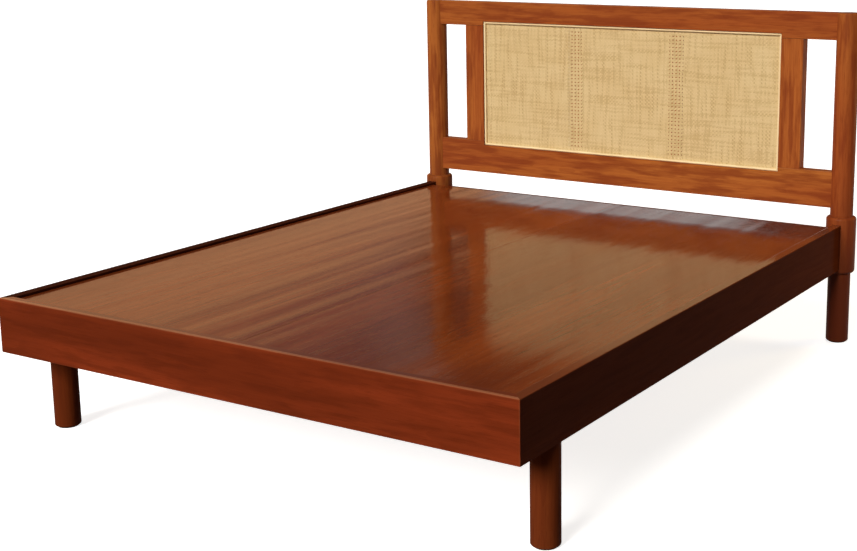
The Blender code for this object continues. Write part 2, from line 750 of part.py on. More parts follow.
def make_bed_bolts(label, side, post, rail):
    """Bed bolts through the back of the collar, with barrel nuts in the rail."""
    drill = BED_BOLT_DIAMETER + 2 * BORE_CLEARANCE
    head_seat = POST_Y + COLLAR_RADIUS - BED_BOLT_SINK
    tip = RAIL_END_Y - BED_BOLT_REACH
    nut_y = RAIL_END_Y - BARREL_NUT_SETBACK
    for level, height in (
        ("low", RAIL_UNDERSIDE + BED_BOLT_EDGE),
        ("high", RAIL_TOP - BED_BOLT_EDGE),
    ):
        name = f"{label}_{level}_bed_bolt"
        start = Vector((side * POST_X, head_seat + FIT, height))
        bolt = headed_bar(
            start,
            -Y,
            BED_BOLT_DIAMETER / 2,
            start.y - tip,
            BED_BOLT_HEAD_DIAMETER / 2,
            BED_BOLT_HEAD_HEIGHT,
        )
        add_round(name, bolt, start, "steel")
        sink = BED_BOLT_HEAD_DIAMETER + 2 * BORE_CLEARANCE
        out = Vector((start.x, POST_Y + COLLAR_RADIUS + SLIP, height))
        bore(name + "_sink", out, Vector((start.x, head_seat, height)), sink, post)

        nut_name = f"{label}_{level}_barrel_nut"
        wall = Vector((side * INNER_X, nut_y, height))
        across = X * side
        nut_start = wall + across * SLIP
        nut = cylinder(
            nut_start, nut_start + across * BARREL_NUT_LENGTH, BARREL_NUT_DIAMETER / 2, SMALL_STEPS
        )
        nut_item = add_round(nut_name, nut, nut_start, "steel")
        pocket = BARREL_NUT_DIAMETER + 2 * BORE_CLEARANCE
        floor = nut_start + across * (BARREL_NUT_LENGTH + FIT)
        bore(nut_name + "_pocket", wall - across * SLIP, floor, pocket, rail)
        bore(
            name + "_bore",
            Vector((start.x, head_seat + SLIP, height)),
            Vector((start.x, tip - SLIP, height)),
            drill,
            post,
            rail,
            nut_item,
        )


clear_scene()
MATERIALS = make_materials()
BED = bpy.data.objects.new("bed", None)
bpy.context.scene.collection.objects.link(BED)

POSTS = {}
for LABEL, SIDE in SIDES.items():
    POSTS[LABEL] = make_post(f"{LABEL}_post", SIDE)
    make_glide(f"{LABEL}_post_glide", (SIDE * POST_X, POST_Y, 0), POST_LEG_DIAMETER)

make_headboard(POSTS.values())
FOOTBOARD, SIDE_RAILS = make_rails(POSTS)
make_deck()
make_centre_beam()
for LABEL, SIDE in SIDES.items():
    make_foot_corner(LABEL, SIDE, FOOTBOARD, SIDE_RAILS[LABEL])
    make_bed_bolts(LABEL, SIDE, POSTS[LABEL], SIDE_RAILS[LABEL])
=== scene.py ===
"""Looks of the cane bed: lacquered timber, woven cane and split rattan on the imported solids.

Metres, in the bed's own frame: it stands on Z = 0, its foot end faces -Y and its headboard is at +Y.
"""

import logging
import math
from collections.abc import Sequence
from dataclasses import dataclass, field, replace
from enum import Enum
from itertools import groupby

import bmesh
import bpy
from mathutils import Euler, Matrix, Vector


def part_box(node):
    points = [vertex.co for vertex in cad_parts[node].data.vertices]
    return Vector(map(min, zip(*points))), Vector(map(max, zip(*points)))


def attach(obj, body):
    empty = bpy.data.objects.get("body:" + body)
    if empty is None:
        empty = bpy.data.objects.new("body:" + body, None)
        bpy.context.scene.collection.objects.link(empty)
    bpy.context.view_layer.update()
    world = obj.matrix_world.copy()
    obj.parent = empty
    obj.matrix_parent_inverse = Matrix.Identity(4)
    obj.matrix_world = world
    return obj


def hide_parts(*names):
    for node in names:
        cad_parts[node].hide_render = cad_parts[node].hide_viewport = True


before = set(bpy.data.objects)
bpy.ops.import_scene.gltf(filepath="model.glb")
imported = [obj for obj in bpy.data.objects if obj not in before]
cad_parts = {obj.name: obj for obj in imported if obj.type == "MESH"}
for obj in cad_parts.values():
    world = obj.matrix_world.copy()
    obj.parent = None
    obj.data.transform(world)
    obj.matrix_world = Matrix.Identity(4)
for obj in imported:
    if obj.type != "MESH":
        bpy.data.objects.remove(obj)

LOG = logging.getLogger("cane_bed")
BODY = "root"
GAP = 0.0003
WELD = GAP / 10
SMOOTH_BEND = math.radians(35.0)
ROD_FACES = 32
UNIT = (0.0, 1.0)
FACING_UP = (0.6, 0.95)
LEANING_UP = (0.3, 0.7)
FACING_FOOT = -0.9

Range = tuple[float, float]
Place = tuple[float, float, float]
Colour = tuple[float, float, float, float]
Corners = tuple[Vector, Vector]
Profile = list[tuple[float, float]]


class Grain(Enum):
    """Axis that a piece's grain runs along, as the turn that brings it onto X."""

    ALONG_X = (0.0, 0.0, 0.0)
    ALONG_Y = (0.0, 0.0, -math.pi / 2)
    ALONG_Z = (0.0, math.pi / 2, 0.0)


class Side(Enum):
    """Side of the bed, seen from its foot end."""

    LEFT = "left"
    RIGHT = "right"


class Strand(Enum):
    """The four ways that the strands of the cane run."""

    UPRIGHT = "cane_uprights"
    LEVEL = "cane_levels"
    RISING = "cane_rising_diagonals"
    FALLING = "cane_falling_diagonals"


def middle(box: Corners) -> Vector:
    """Point half way between a box's corners."""
    return (box[0] + box[1]) / 2


class Wiring:
    """Adds nodes to one node tree and links them."""

    MIX_FACTOR = 0
    MIX_FIRST = 6
    MIX_SECOND = 7
    MIX_RESULT = 2

    def __init__(self, tree: bpy.types.NodeTree) -> None:
        """Keep the tree that takes the nodes."""
        self.tree = tree

    def add(self, kind: str, **settings: object) -> bpy.types.Node:
        """Add a node.

        Args:
            kind: Blender's name for the type of node.
            settings: Properties to set on it.

        Returns:
            The new node.
        """
        node = self.tree.nodes.new(kind)
        for name, value in settings.items():
            setattr(node, name, value)
        return node

    def feed(self, socket: bpy.types.NodeSocket, value: object) -> None:
        """Link a socket to another one, or set its own value.

        Args:
            socket: Input that takes the value.
            value: An output to link, or a plain value.
        """
        if isinstance(value, bpy.types.NodeSocket):
            self.tree.links.new(value, socket)
        else:
            socket.default_value = value

    def maths(self, operation: str, first: object, second: object = 0.0) -> bpy.types.NodeSocket:
        """Work out one number.

        Args:
            operation: Name of the Math node's operation.
            first: First number or output.
            second: Second number or output.

        Returns:
            The output with the result.
        """
        node = self.add("ShaderNodeMath", operation=operation)
        self.feed(node.inputs[0], first)
        self.feed(node.inputs[1], second)
        return node.outputs[0]

    def vector(
        self, operation: str, first: object, second: object, output: str = "Vector"
    ) -> bpy.types.NodeSocket:
        """Work out one vector, or one number from two vectors.

        Args:
            operation: Name of the Vector Math node's operation.
            first: First vector or output.
            second: Second vector or output.
            output: Name of the output with the result.

        Returns:
            That output.
        """
        node = self.add("ShaderNodeVectorMath", operation=operation)
        self.feed(node.inputs[0], first)
        self.feed(node.inputs[1], second)
        return node.outputs[output]

    def parts(self, vector: object) -> list[bpy.types.NodeSocket]:
        """Split a vector.

        Args:
            vector: Output with the vector.

        Returns:
            Outputs with its X, Y and Z.
        """
        node = self.add("ShaderNodeSeparateXYZ")
        self.feed(node.inputs[0], vector)
        return list(node.outputs)

    def noise(self, vector: object, scale: float, detail: float) -> bpy.types.Node:
        """Add a noise texture.

        Args:
            vector: Output with the coordinates.
            scale: How many features there are in a unit.
            detail: How many finer octaves it has.

        Returns:
            The texture node.
        """
        node = self.add("ShaderNodeTexNoise")
        self.feed(node.inputs["Vector"], vector)
        self.feed(node.inputs["Scale"], scale)
        self.feed(node.inputs["Detail"], detail)
        return node

    def span(self, value: object, source: Range, target: Range = UNIT) -> bpy.types.NodeSocket:
        """Carry a value from one range to another, held at its ends.

        Args:
            value: Number or output to carry over.
            source: Start and end of its own range.
            target: Start and end of the new range.

        Returns:
            The output with the new value.
        """
        node = self.add("ShaderNodeMapRange", clamp=True, interpolation_type="SMOOTHSTEP")
        for socket, number in zip(node.inputs, (value, *source, *target)):
            self.feed(socket, number)
        return node.outputs["Result"]

    def blend(self, factor: object, first: object, second: object) -> bpy.types.NodeSocket:
        """Mix two colours.

        Args:
            factor: Share of the second colour.
            first: First colour or output.
            second: Second colour or output.

        Returns:
            The output with the mixed colour.
        """
        node = self.add("ShaderNodeMix", data_type="RGBA", clamp_factor=True)
        self.feed(node.inputs[self.MIX_FACTOR], factor)
        self.feed(node.inputs[self.MIX_FIRST], first)
        self.feed(node.inputs[self.MIX_SECOND], second)
        return node.outputs[self.MIX_RESULT]

    def lay(self, under: object, tone: object, mask: object, share: object) -> bpy.types.NodeSocket:
        """Lay a tone over a colour.

        Args:
            under: Colour or output that is covered.
            tone: Colour or output of the tone.
            mask: Output with where the tone lies.
            share: How much of it there is where the mask is 1.

        Returns:
            The output with the new colour.
        """
        return self.blend(self.maths("MULTIPLY", mask, share), under, tone)

    def group(self, tree: bpy.types.NodeTree, **values: object) -> bpy.types.Node:
        """Place a node group.

        Args:
            tree: The group.
            values: Value or output for each input, by its name in lower case.

        Returns:
            The group's node.
        """
        node = self.add("ShaderNodeGroup", node_tree=tree)
        for name, value in values.items():
            self.feed(node.inputs[name.replace("_", " ").title()], value)
        return node


class Effect:
    """A shader node group with named sockets, made once and shared."""

    def __init__(self, name: str, inputs: dict[str, str], outputs: Sequence[str]) -> None:
        """Make an empty group.

        Args:
            name: The group's name.
            inputs: Name and socket type of each input.
            outputs: Name of each output, which are all single numbers.
        """
        self.tree = bpy.data.node_groups.new(name, "ShaderNodeTree")
        for title, kind in inputs.items():
            self.tree.interface.new_socket(title, in_out="INPUT", socket_type=kind)
        for title in outputs:
            self.tree.interface.new_socket(title, in_out="OUTPUT", socket_type="NodeSocketFloat")
        self.wiring = Wiring(self.tree)
        self.taken = self.wiring.add("NodeGroupInput").outputs
        self.given = self.wiring.add("NodeGroupOutput").inputs


@dataclass(frozen=True)
class DrawnNoise:
    """Noise that is drawn out along the grain, by its features in a metre."""

    along: float
    across: float
    detail: float
    held: Range = UNIT

    def texture(self, wires: Wiring, place: object) -> bpy.types.Node:
        """Add the noise.

        Args:
            wires: Wiring that takes it.
            place: Output with the coordinates, with X along the grain.

        Returns:
            The texture node.
        """
        rate = (self.along, self.across, self.across)
        return wires.noise(wires.vector("MULTIPLY", place, rate), 1.0, self.detail)


GRAIN_SIGNS = {
    "Tone": DrawnNoise(0.5, 5.0, 2.0, held=(0.34, 0.66)),
    "Flame": DrawnNoise(7.0, 55.0, 4.0, held=(0.42, 0.64)),
    "Fibre": DrawnNoise(5.0, 260.0, 3.0, held=(0.32, 0.68)),
    "Pore": DrawnNoise(24.0, 620.0, 1.0, held=(0.62, 0.72)),
}
RIPPLE = DrawnNoise(0.8, 13.0, 1.0)
RING_WAVER = DrawnNoise(2.2, 9.0, 2.0)
RING_REACH = (0.0, 0.05, 0.05)
LATE_WOOD = 2.4


def timber_grain() -> bpy.types.NodeTree:
    """Grain of solid timber whose fibres run along X.

    Returns:
        A group that gives slow changes of tone, flames, growth rings, fine fibres, open pores and
        the slow lengthwise ripple of a planed board.
    """
    effect = Effect(
        "timber_grain",
        {"Vector": "NodeSocketVector", "Ring Spacing": "NodeSocketFloat"},
        ("Tone", "Flame", "Rings", "Fibre", "Pore", "Ripple"),
    )
    wires = effect.wiring
    place = effect.taken["Vector"]
    for title, sign in GRAIN_SIGNS.items():
        spread = wires.span(sign.texture(wires, place).outputs["Fac"], sign.held)
        wires.feed(effect.given[title], spread)
    wires.feed(effect.given["Ripple"], RIPPLE.texture(wires, place).outputs["Fac"])

    push = wires.vector("SUBTRACT", RING_WAVER.texture(wires, place).outputs["Color"], (0.5, 0.5, 0.5))
    bent = wires.vector("ADD", place, wires.vector("MULTIPLY", push, RING_REACH))
    section = wires.vector("MULTIPLY", bent, (0.0, 1.0, 1.0))
    from_heart = wires.vector("DISTANCE", section, (0.0, 0.0, 0.0), output="Value")
    turns = wires.maths("DIVIDE", from_heart, effect.taken["Ring Spacing"])
    wires.feed(effect.given["Rings"], wires.maths("POWER", wires.maths("FRACT", turns), LATE_WOOD))
    return effect.tree


def edge_wear() -> bpy.types.NodeTree:
    """Rubbed arrises of a board that fills the box between two corners.

    Returns:
        A group that gives 1 on an arris, broken up by noise, and 0 away from it.
    """
    effect = Effect(
        "edge_wear",
        {
            "Vector": "NodeSocketVector",
            "Low": "NodeSocketVector",
            "High": "NodeSocketVector",
            "Width": "NodeSocketFloat",
        },
        ("Mask",),
    )
    wires = effect.wiring
    place = effect.taken["Vector"]
    from_low = wires.vector("SUBTRACT", place, effect.taken["Low"])
    from_high = wires.vector("SUBTRACT", effect.taken["High"], place)
    along, across, up = wires.parts(wires.vector("MINIMUM", from_low, from_high))
    lesser = wires.maths("MINIMUM", along, across)
    greater = wires.maths("MAXIMUM", along, across)
    second = wires.maths("MAXIMUM", lesser, wires.maths("MINIMUM", greater, up))
    share = wires.maths("DIVIDE", second, effect.taken["Width"])
    near = wires.span(share, (0.3, 1.0), (1.0, 0.0))
    rub = wires.noise(place, scale=14.0, detail=3.0)
    uneven = wires.span(rub.outputs["Fac"], (0.35, 0.62), (0.25, 1.0))
    wires.feed(effect.given["Mask"], wires.maths("MULTIPLY", near, uneven))
    return effect.tree


def reed_fibre() -> bpy.types.NodeTree:
    """Lengthwise fibres and slow colour drift of cane and rattan.

    Returns:
        A group that gives the slow drift, the tone of each strand and the fine fibres.
    """
    effect = Effect(
        "reed_fibre",
        {"Vector": "NodeSocketVector", "Strand": "NodeSocketVector"},
        ("Drift", "Tone", "Fibre"),
    )
    wires = effect.wiring
    drift = wires.noise(effect.taken["Vector"], scale=9.0, detail=4.0)
    wires.feed(effect.given["Drift"], wires.span(drift.outputs["Fac"], (0.32, 0.68)))
    strand = wires.noise(effect.taken["Strand"], scale=1.0, detail=1.0)
    wires.feed(effect.given["Tone"], wires.span(strand.outputs["Fac"], (0.42, 0.68)))
    hairs = wires.noise(effect.taken["Vector"], scale=900.0, detail=2.0)
    wires.feed(effect.given["Fibre"], hairs.outputs["Fac"])
    return effect.tree


def new_material(name: str) -> tuple[bpy.types.Material, Wiring, bpy.types.Node]:
    """Start a material.

    Args:
        name: The material's name.

    Returns:
        The material, its wiring and its Principled shader.
    """
    material = bpy.data.materials.new(name)
    material.use_nodes = True
    wires = Wiring(material.node_tree)
    return material, wires, material.node_tree.nodes["Principled BSDF"]


def set_bump(wires: Wiring, shader: bpy.types.Node, height: object, depth: float) -> None:
    """Give a shader a bumped normal.

    Args:
        wires: The material's wiring.
        shader: Its Principled shader.
        height: Output with the height.
        depth: Metres that a height of 1 stands for.
    """
    bump = wires.add("ShaderNodeBump")
    wires.feed(bump.inputs["Distance"], depth)
    wires.feed(bump.inputs["Height"], height)
    wires.feed(shader.inputs["Normal"], bump.outputs["Normal"])


@dataclass(frozen=True)
class Cut:
    """How a piece was cut: its grain, its corners, and its middle as it lay from the tree's heart."""

    grain: Grain
    box: Corners
    heart: Place

    def signs(self, wires: Wiring, place: object, ring_spacing: float) -> bpy.types.bpy_prop_collection:
        """Place the grain's group in a material and turn it along the piece.

        Args:
            wires: The material's wiring.
            place: Output with the piece's coordinates.
            ring_spacing: Distance between growth rings.

        Returns:
            The outputs of the group.
        """
        turned = Euler(self.grain.value)
        mapping = wires.add("ShaderNodeMapping")
        wires.feed(mapping.inputs["Vector"], place)
        wires.feed(mapping.inputs["Rotation"], turned)
        wires.feed(mapping.inputs["Location"], Vector(self.heart) - turned.to_matrix() @ middle(self.box))
        grain = bpy.data.node_groups["timber_grain"]
        return wires.group(grain, vector=mapping.outputs["Vector"], ring_spacing=ring_spacing).outputs


@dataclass(frozen=True)
class LacqueredTimber:
    """Stained timber under a clear lacquer, with wear, bare wood, painted highlights and painted shade;
    marks whose share, depth, wear or highlight is 0 are left out.
    """

    slot: str
    pale: Colour
    deep: Colour
    streak: Colour
    ring_spacing: float
    ring_share: float
    flame_share: float
    pore_share: float = 0.5
    fibre_depth: float = 0.00004
    ripple_depth: float = 0.0
    coat: float = 0.0
    top_coat: float | None = None
    coat_roughness: float = 0.30
    body_gloss: float = 0.0
    body_roughness: Range = (0.42, 0.55)
    lacquer_ior: float = 1.3
    wear_and_highlight: Colour = (0.20, 0.050, 0.018, 1.0)
    wear: float = 0.0
    wear_width: float = 0.004
    # Painted highlight: light painted on faces that look up and on the front lip of the top.
    painted_top_highlight: float = 0.0
    lip_highlight_depth: float = 0.0
    lip_highlight_tone: Colour = (0.50, 0.19, 0.085, 1.0)
    lip_highlight_share: Range = (0.35, 1.0)
    # Painted shade: the colour deepens towards the foot.
    foot_painted_shade: float = 0.0
    painted_shade_reach: Range = (0.15, 0.65)
    painted_shade_tone: Colour = (0.13, 0.024, 0.008, 1.0)
    bare_depth: float = 0.0
    bare: Colour = (0.84, 0.64, 0.38, 1.0)

    def material(self, name: str, cut: Cut) -> bpy.types.Material:
        """Make the finish of one piece.

        Args:
            name: The piece's name.
            cut: How it was cut.

        Returns:
            The new material.
        """
        material, wires, shader = new_material(f"{name}_lacquer")
        coordinates = wires.add("ShaderNodeTexCoord").outputs
        facing = wires.parts(coordinates["Normal"])
        signs = cut.signs(wires, coordinates["Object"], self.ring_spacing)
        colour = wires.blend(signs["Tone"], self.deep, self.pale)
        for sign, share in (
            ("Flame", self.flame_share),
            ("Rings", self.ring_share),
            ("Fibre", self.ring_share),
            ("Pore", self.pore_share),
        ):
            colour = wires.lay(colour, self.streak, signs[sign], share)
        colour = self.marked(wires, colour, signs["Tone"], coordinates["Object"], facing, cut.box)
        wires.feed(shader.inputs["Base Color"], colour)
        wires.feed(shader.inputs["Roughness"], wires.span(signs["Fibre"], UNIT, self.body_roughness))
        shader.inputs["Specular IOR Level"].default_value = self.body_gloss
        shader.inputs["IOR"].default_value = self.lacquer_ior
        weight = self.coat
        if self.top_coat is not None:
            weight = wires.span(facing[2], FACING_UP, (self.coat, self.top_coat))
        wires.feed(shader.inputs["Coat Weight"], weight)
        shader.inputs["Coat Roughness"].default_value = self.coat_roughness
        shader.inputs["Coat IOR"].default_value = self.lacquer_ior
        height = wires.maths("SUBTRACT", signs["Fibre"], signs["Pore"])
        height = wires.maths("MULTIPLY", height, self.fibre_depth)
        if self.ripple_depth:
            ripple = wires.maths("MULTIPLY", signs["Ripple"], self.ripple_depth)
            height = wires.maths("ADD", height, ripple)
        set_bump(wires, shader, height, 1.0)
        return material

    def marked(
        self,
        wires: Wiring,
        colour: object,
        tone: object,
        place: object,
        facing: Sequence[bpy.types.NodeSocket],
        box: Corners,
    ) -> object:
        """Lay wear, bare wood, a painted highlight on top faces and the front lip, and painted shade
        towards the foot over the stain.

        Args:
            wires: The material's wiring.
            colour: Output with the stain's colour.
            tone: Output with its slow changes.
            place: Output with the piece's coordinates.
            facing: Outputs with X, Y and Z of the direction that its surface faces.
            box: The piece's corners.

        Returns:
            The output with the colour of the whole.
        """
        _, forth, up = facing
        _, depth, height = wires.parts(place)
        # Painted highlight: faces that look up are lightened towards the wear-and-highlight colour.
        if self.painted_top_highlight:
            colour = wires.blend(wires.span(up, FACING_UP, (0.0, self.painted_top_highlight)), colour, self.wear_and_highlight)
        # Painted highlight on the top's front lip, standing for light caught on its rounded arris.
        if self.lip_highlight_depth:
            ahead = wires.maths("LESS_THAN", depth, box[0].y + self.lip_highlight_depth)
            lip_highlight_mask = wires.maths("MULTIPLY", ahead, wires.span(up, LEANING_UP))
            colour = wires.lay(colour, self.lip_highlight_tone, lip_highlight_mask, wires.span(tone, UNIT, self.lip_highlight_share))
        # Painted shade: the colour deepens towards the foot, under the rails.
        if self.foot_painted_shade:
            painted_shade_mask = wires.span(height, self.painted_shade_reach, (self.foot_painted_shade, 0.0))
            colour = wires.blend(painted_shade_mask, colour, self.painted_shade_tone)
        if self.bare_depth:
            sunk = wires.maths("GREATER_THAN", depth, box[0].y + self.bare_depth)
            colour = wires.lay(colour, self.bare, sunk, wires.maths("LESS_THAN", forth, FACING_FOOT))
        if self.wear:
            group = bpy.data.node_groups["edge_wear"]
            rubbed = wires.group(group, vector=place, low=box[0], high=box[1], width=self.wear_width)
            colour = wires.lay(colour, self.wear_and_highlight, rubbed.outputs["Mask"], self.wear)
        return colour


@dataclass(frozen=True)
class BareTimber:
    """Sawn timber with no finish, or the thin board behind the cane."""

    slot: str
    pale: Colour
    deep: Colour
    ring_spacing: float
    ring_share: float = 0.55
    fibre_share: float = 0.25
    fibre_depth: float = 0.0001
    roughness: Range = (0.6, 0.8)

    def material(self, name: str, cut: Cut) -> bpy.types.Material:
        """Make the finish of one piece.

        Args:
            name: The piece's name.
            cut: How it was cut.

        Returns:
            The new material.
        """
        material, wires, shader = new_material(f"{name}_bare")
        place = wires.add("ShaderNodeTexCoord").outputs["Object"]
        signs = cut.signs(wires, place, self.ring_spacing)
        colour = wires.lay(self.pale, self.deep, signs["Rings"], self.ring_share)
        colour = wires.lay(colour, self.deep, signs["Fibre"], self.fibre_share)
        wires.feed(shader.inputs["Base Color"], colour)
        wires.feed(shader.inputs["Roughness"], wires.span(signs["Fibre"], UNIT, self.roughness))
        set_bump(wires, shader, signs["Fibre"], self.fibre_depth)
        return material


@dataclass(frozen=True)
class StrandTone:
    """A darker tone that differs from strand to strand, by its share and its changes in a metre."""

    share: float
    rate: Place
    colour: Colour = (0.455, 0.282, 0.103, 1.0)


@dataclass(frozen=True)
class NaturalReed:
    """Unstained cane or rattan, whose strands may differ in tone."""

    slot: str
    pale: Colour
    deep: Colour
    roughness: Range
    tone: StrandTone | None = None
    gloss: float = 0.3
    fibre_depth: float = 0.0001

    def material(self, name: str) -> bpy.types.Material:
        """Make the finish.

        Args:
            name: Name of what it covers.

        Returns:
            The new material.
        """
        material, wires, shader = new_material(f"{name}_reed")
        place = wires.add("ShaderNodeTexCoord").outputs["Object"]
        reed = wires.group(bpy.data.node_groups["reed_fibre"], vector=place)
        colour = wires.blend(reed.outputs["Drift"], self.deep, self.pale)
        if self.tone:
            wires.feed(reed.inputs["Strand"], wires.vector("MULTIPLY", place, self.tone.rate))
            colour = wires.lay(colour, self.tone.colour, reed.outputs["Tone"], self.tone.share)
        wires.feed(shader.inputs["Base Color"], colour)
        wires.feed(shader.inputs["Roughness"], wires.span(reed.outputs["Fibre"], UNIT, self.roughness))
        shader.inputs["Specular IOR Level"].default_value = self.gloss
        set_bump(wires, shader, reed.outputs["Fibre"], self.fibre_depth)
        return material


@dataclass(frozen=True)
class PlatedSteel:
    """Zinc plated fasteners."""

    slot: str = "steel"
    bright: Colour = (0.62, 0.62, 0.60, 1.0)
    dull: Colour = (0.36, 0.36, 0.37, 1.0)
    spangles: float = 420.0
    roughness: Range = (0.28, 0.46)

    def material(self) -> bpy.types.Material:
        """Make the finish.

        Returns:
            The new material.
        """
        material, wires, shader = new_material("plated_steel")
        place = wires.add("ShaderNodeTexCoord").outputs["Object"]
        spangle = wires.noise(place, self.spangles, detail=3.0).outputs["Fac"]
        wires.feed(shader.inputs["Base Color"], wires.blend(spangle, self.dull, self.bright))
        wires.feed(shader.inputs["Roughness"], wires.span(spangle, (0.3, 0.7), self.roughness))
        shader.inputs["Metallic"].default_value = 1.0
        return material


@dataclass(frozen=True)
class PressedFelt:
    """Felt of the glides."""

    slot: str = "felt"
    pale: Colour = (0.12, 0.09, 0.07, 1.0)
    deep: Colour = (0.05, 0.04, 0.03, 1.0)
    tufts: float = 700.0
    tuft_depth: float = 0.0006
    roughness: float = 0.95
    gloss: float = 0.1

    def material(self) -> bpy.types.Material:
        """Make the finish.

        Returns:
            The new material.
        """
        material, wires, shader = new_material("pressed_felt")
        place = wires.add("ShaderNodeTexCoord").outputs["Object"]
        tuft = wires.noise(place, self.tufts, detail=4.0).outputs["Fac"]
        wires.feed(shader.inputs["Base Color"], wires.blend(tuft, self.deep, self.pale))
        shader.inputs["Roughness"].default_value = self.roughness
        shader.inputs["Specular IOR Level"].default_value = self.gloss
        set_bump(wires, shader, tuft, self.tuft_depth)
        return material


Timber = LacqueredTimber | BareTimber

HEADBOARD_STAIN = LacqueredTimber(
    slot="headboard_stain",
    pale=(0.45, 0.138, 0.027, 1.0),
    deep=(0.32, 0.066, 0.015, 1.0),
    streak=(0.19, 0.031, 0.009, 1.0),
    ring_spacing=0.013,
    ring_share=0.26,
    flame_share=0.62,
    coat=0.2,
    top_coat=0.6,
    coat_roughness=0.32,
    wear_and_highlight=(0.44, 0.15, 0.045, 1.0),
    wear=0.3,
)
FRAME_STAIN = replace(HEADBOARD_STAIN, bare_depth=0.013)
STILE_STAIN = replace(FRAME_STAIN, pale=(0.43, 0.122, 0.025, 1.0), deep=(0.30, 0.058, 0.014, 1.0))
# Painted shade under the side rails: the post's colour deepens towards its foot, partly the deeper stain
# of its leg.
POST_STAIN_WITH_PAINTED_SHADE = replace(HEADBOARD_STAIN, foot_painted_shade=0.92)
# Painted highlight: the footboard's top is lighter, most along its front lip, standing for light on its
# rounded arris.
FOOT_STAIN_WITH_PAINTED_HIGHLIGHT = LacqueredTimber(
    slot="rail_stain",
    pale=(0.305, 0.045, 0.012, 1.0),
    deep=(0.152, 0.023, 0.006, 1.0),
    streak=(0.100, 0.015, 0.004, 1.0),
    ring_spacing=0.014,
    ring_share=0.20,
    flame_share=0.42,
    coat=0.03,
    top_coat=1.0,
    coat_roughness=0.14,
    wear_and_highlight=(0.36, 0.13, 0.055, 1.0),
    wear=0.15,
    painted_top_highlight=0.10,
    lip_highlight_depth=0.011,
)
# Past this depth only the walls of a rail's nut bores face the foot end, and they are bare.
RAIL_STAIN = LacqueredTimber(
    slot="rail_stain",
    pale=(0.152, 0.032, 0.011, 1.0),
    deep=(0.115, 0.025, 0.009, 1.0),
    streak=(0.075, 0.013, 0.005, 1.0),
    ring_spacing=0.014,
    ring_share=0.20,
    flame_share=0.24,
    coat=0.03,
    top_coat=0.1,
    wear=0.15,
    bare_depth=1.0,
)
# Painted shade: the left rail is a darker copy of the rail stain, standing for the shade along its top
# and inner face.
LEFT_RAIL_PAINTED_SHADE = replace(
    RAIL_STAIN,
    pale=(0.075, 0.018, 0.009, 1.0),
    deep=(0.058, 0.014, 0.007, 1.0),
    streak=(0.045, 0.011, 0.005, 1.0),
    top_coat=None,
)
# Painted highlight: the right rail's top face is lightened.
RIGHT_RAIL_STAIN_WITH_PAINTED_HIGHLIGHT = replace(
    RAIL_STAIN,
    coat=0.02,
    top_coat=1.0,
    coat_roughness=0.12,
    wear_and_highlight=(0.36, 0.085, 0.022, 1.0),
    painted_top_highlight=0.30,
)
DECK_STAIN = LacqueredTimber(
    slot="deck_stain",
    pale=(0.27, 0.052, 0.010, 1.0),
    deep=(0.19, 0.034, 0.007, 1.0),
    streak=(0.11, 0.020, 0.005, 1.0),
    ring_spacing=0.030,
    ring_share=0.20,
    flame_share=0.20,
    ripple_depth=0.0014,
    body_gloss=0.5,
    body_roughness=(0.07, 0.11),
    lacquer_ior=1.32,
)
LEG_STAIN = LacqueredTimber(
    slot="leg_stain",
    pale=(0.228, 0.050, 0.0115, 1.0),
    deep=(0.165, 0.033, 0.0080, 1.0),
    streak=(0.10, 0.017, 0.005, 1.0),
    ring_spacing=0.011,
    ring_share=0.26,
    flame_share=0.24,
    coat=0.05,
)
# Painted shade: the left front leg is a darker copy of the leg stain.
LEFT_LEG_PAINTED_SHADE = replace(LEG_STAIN, pale=(0.175, 0.034, 0.008, 1.0), deep=(0.125, 0.022, 0.005, 1.0))
PLAIN_WOOD = BareTimber(
    slot="plain_wood",
    pale=(0.60, 0.42, 0.23, 1.0),
    deep=(0.40, 0.23, 0.10, 1.0),
    ring_spacing=0.009,
)
BACK_BOARD = BareTimber(
    slot="back_board",
    pale=(0.94, 0.78, 0.52, 1.0),
    deep=(0.88, 0.69, 0.42, 1.0),
    ring_spacing=0.035,
)
CANE = NaturalReed(
    slot="cane",
    pale=(0.719, 0.548, 0.279, 1.0),
    deep=(0.688, 0.511, 0.249, 1.0),
    roughness=(0.4, 0.6),
)
# Painted shade: the diagonals, lying behind the pairs, are a darker copy of the cane.
DIAGONAL_CANE_PAINTED_SHADE = replace(CANE, pale=(0.64, 0.48, 0.235, 1.0), deep=(0.59, 0.42, 0.2, 1.0))
CANE_FINISHES_AND_PAINTED_SHADE = {
    Strand.UPRIGHT: replace(CANE, tone=StrandTone(0.66, (85.0, 0.0, 7.0))),
    Strand.LEVEL: replace(CANE, tone=StrandTone(0.52, (5.0, 0.0, 85.0))),
    Strand.RISING: DIAGONAL_CANE_PAINTED_SHADE,
    Strand.FALLING: DIAGONAL_CANE_PAINTED_SHADE,
}
RATTAN = NaturalReed(
    slot="rattan",
    pale=(0.95, 0.77, 0.45, 1.0),
    deep=(0.88, 0.68, 0.37, 1.0),
    roughness=(0.32, 0.52),
)


@dataclass(frozen=True)
class Board:
    """A carried-over solid of timber: its finish, its grain and how it lay from the tree's heart."""

    node: str
    finish_and_painted_light: Timber
    grain: Grain
    heart: Place

    def dress(self) -> None:
        """Give the solid its finish."""
        cut = Cut(self.grain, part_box(self.node), self.heart)
        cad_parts[self.node].material_slots[0].material = self.finish_and_painted_light.material(self.node, cut)
        LOG.info("%s: %s along %s", self.node, self.finish_and_painted_light.slot, self.grain.name[-1])


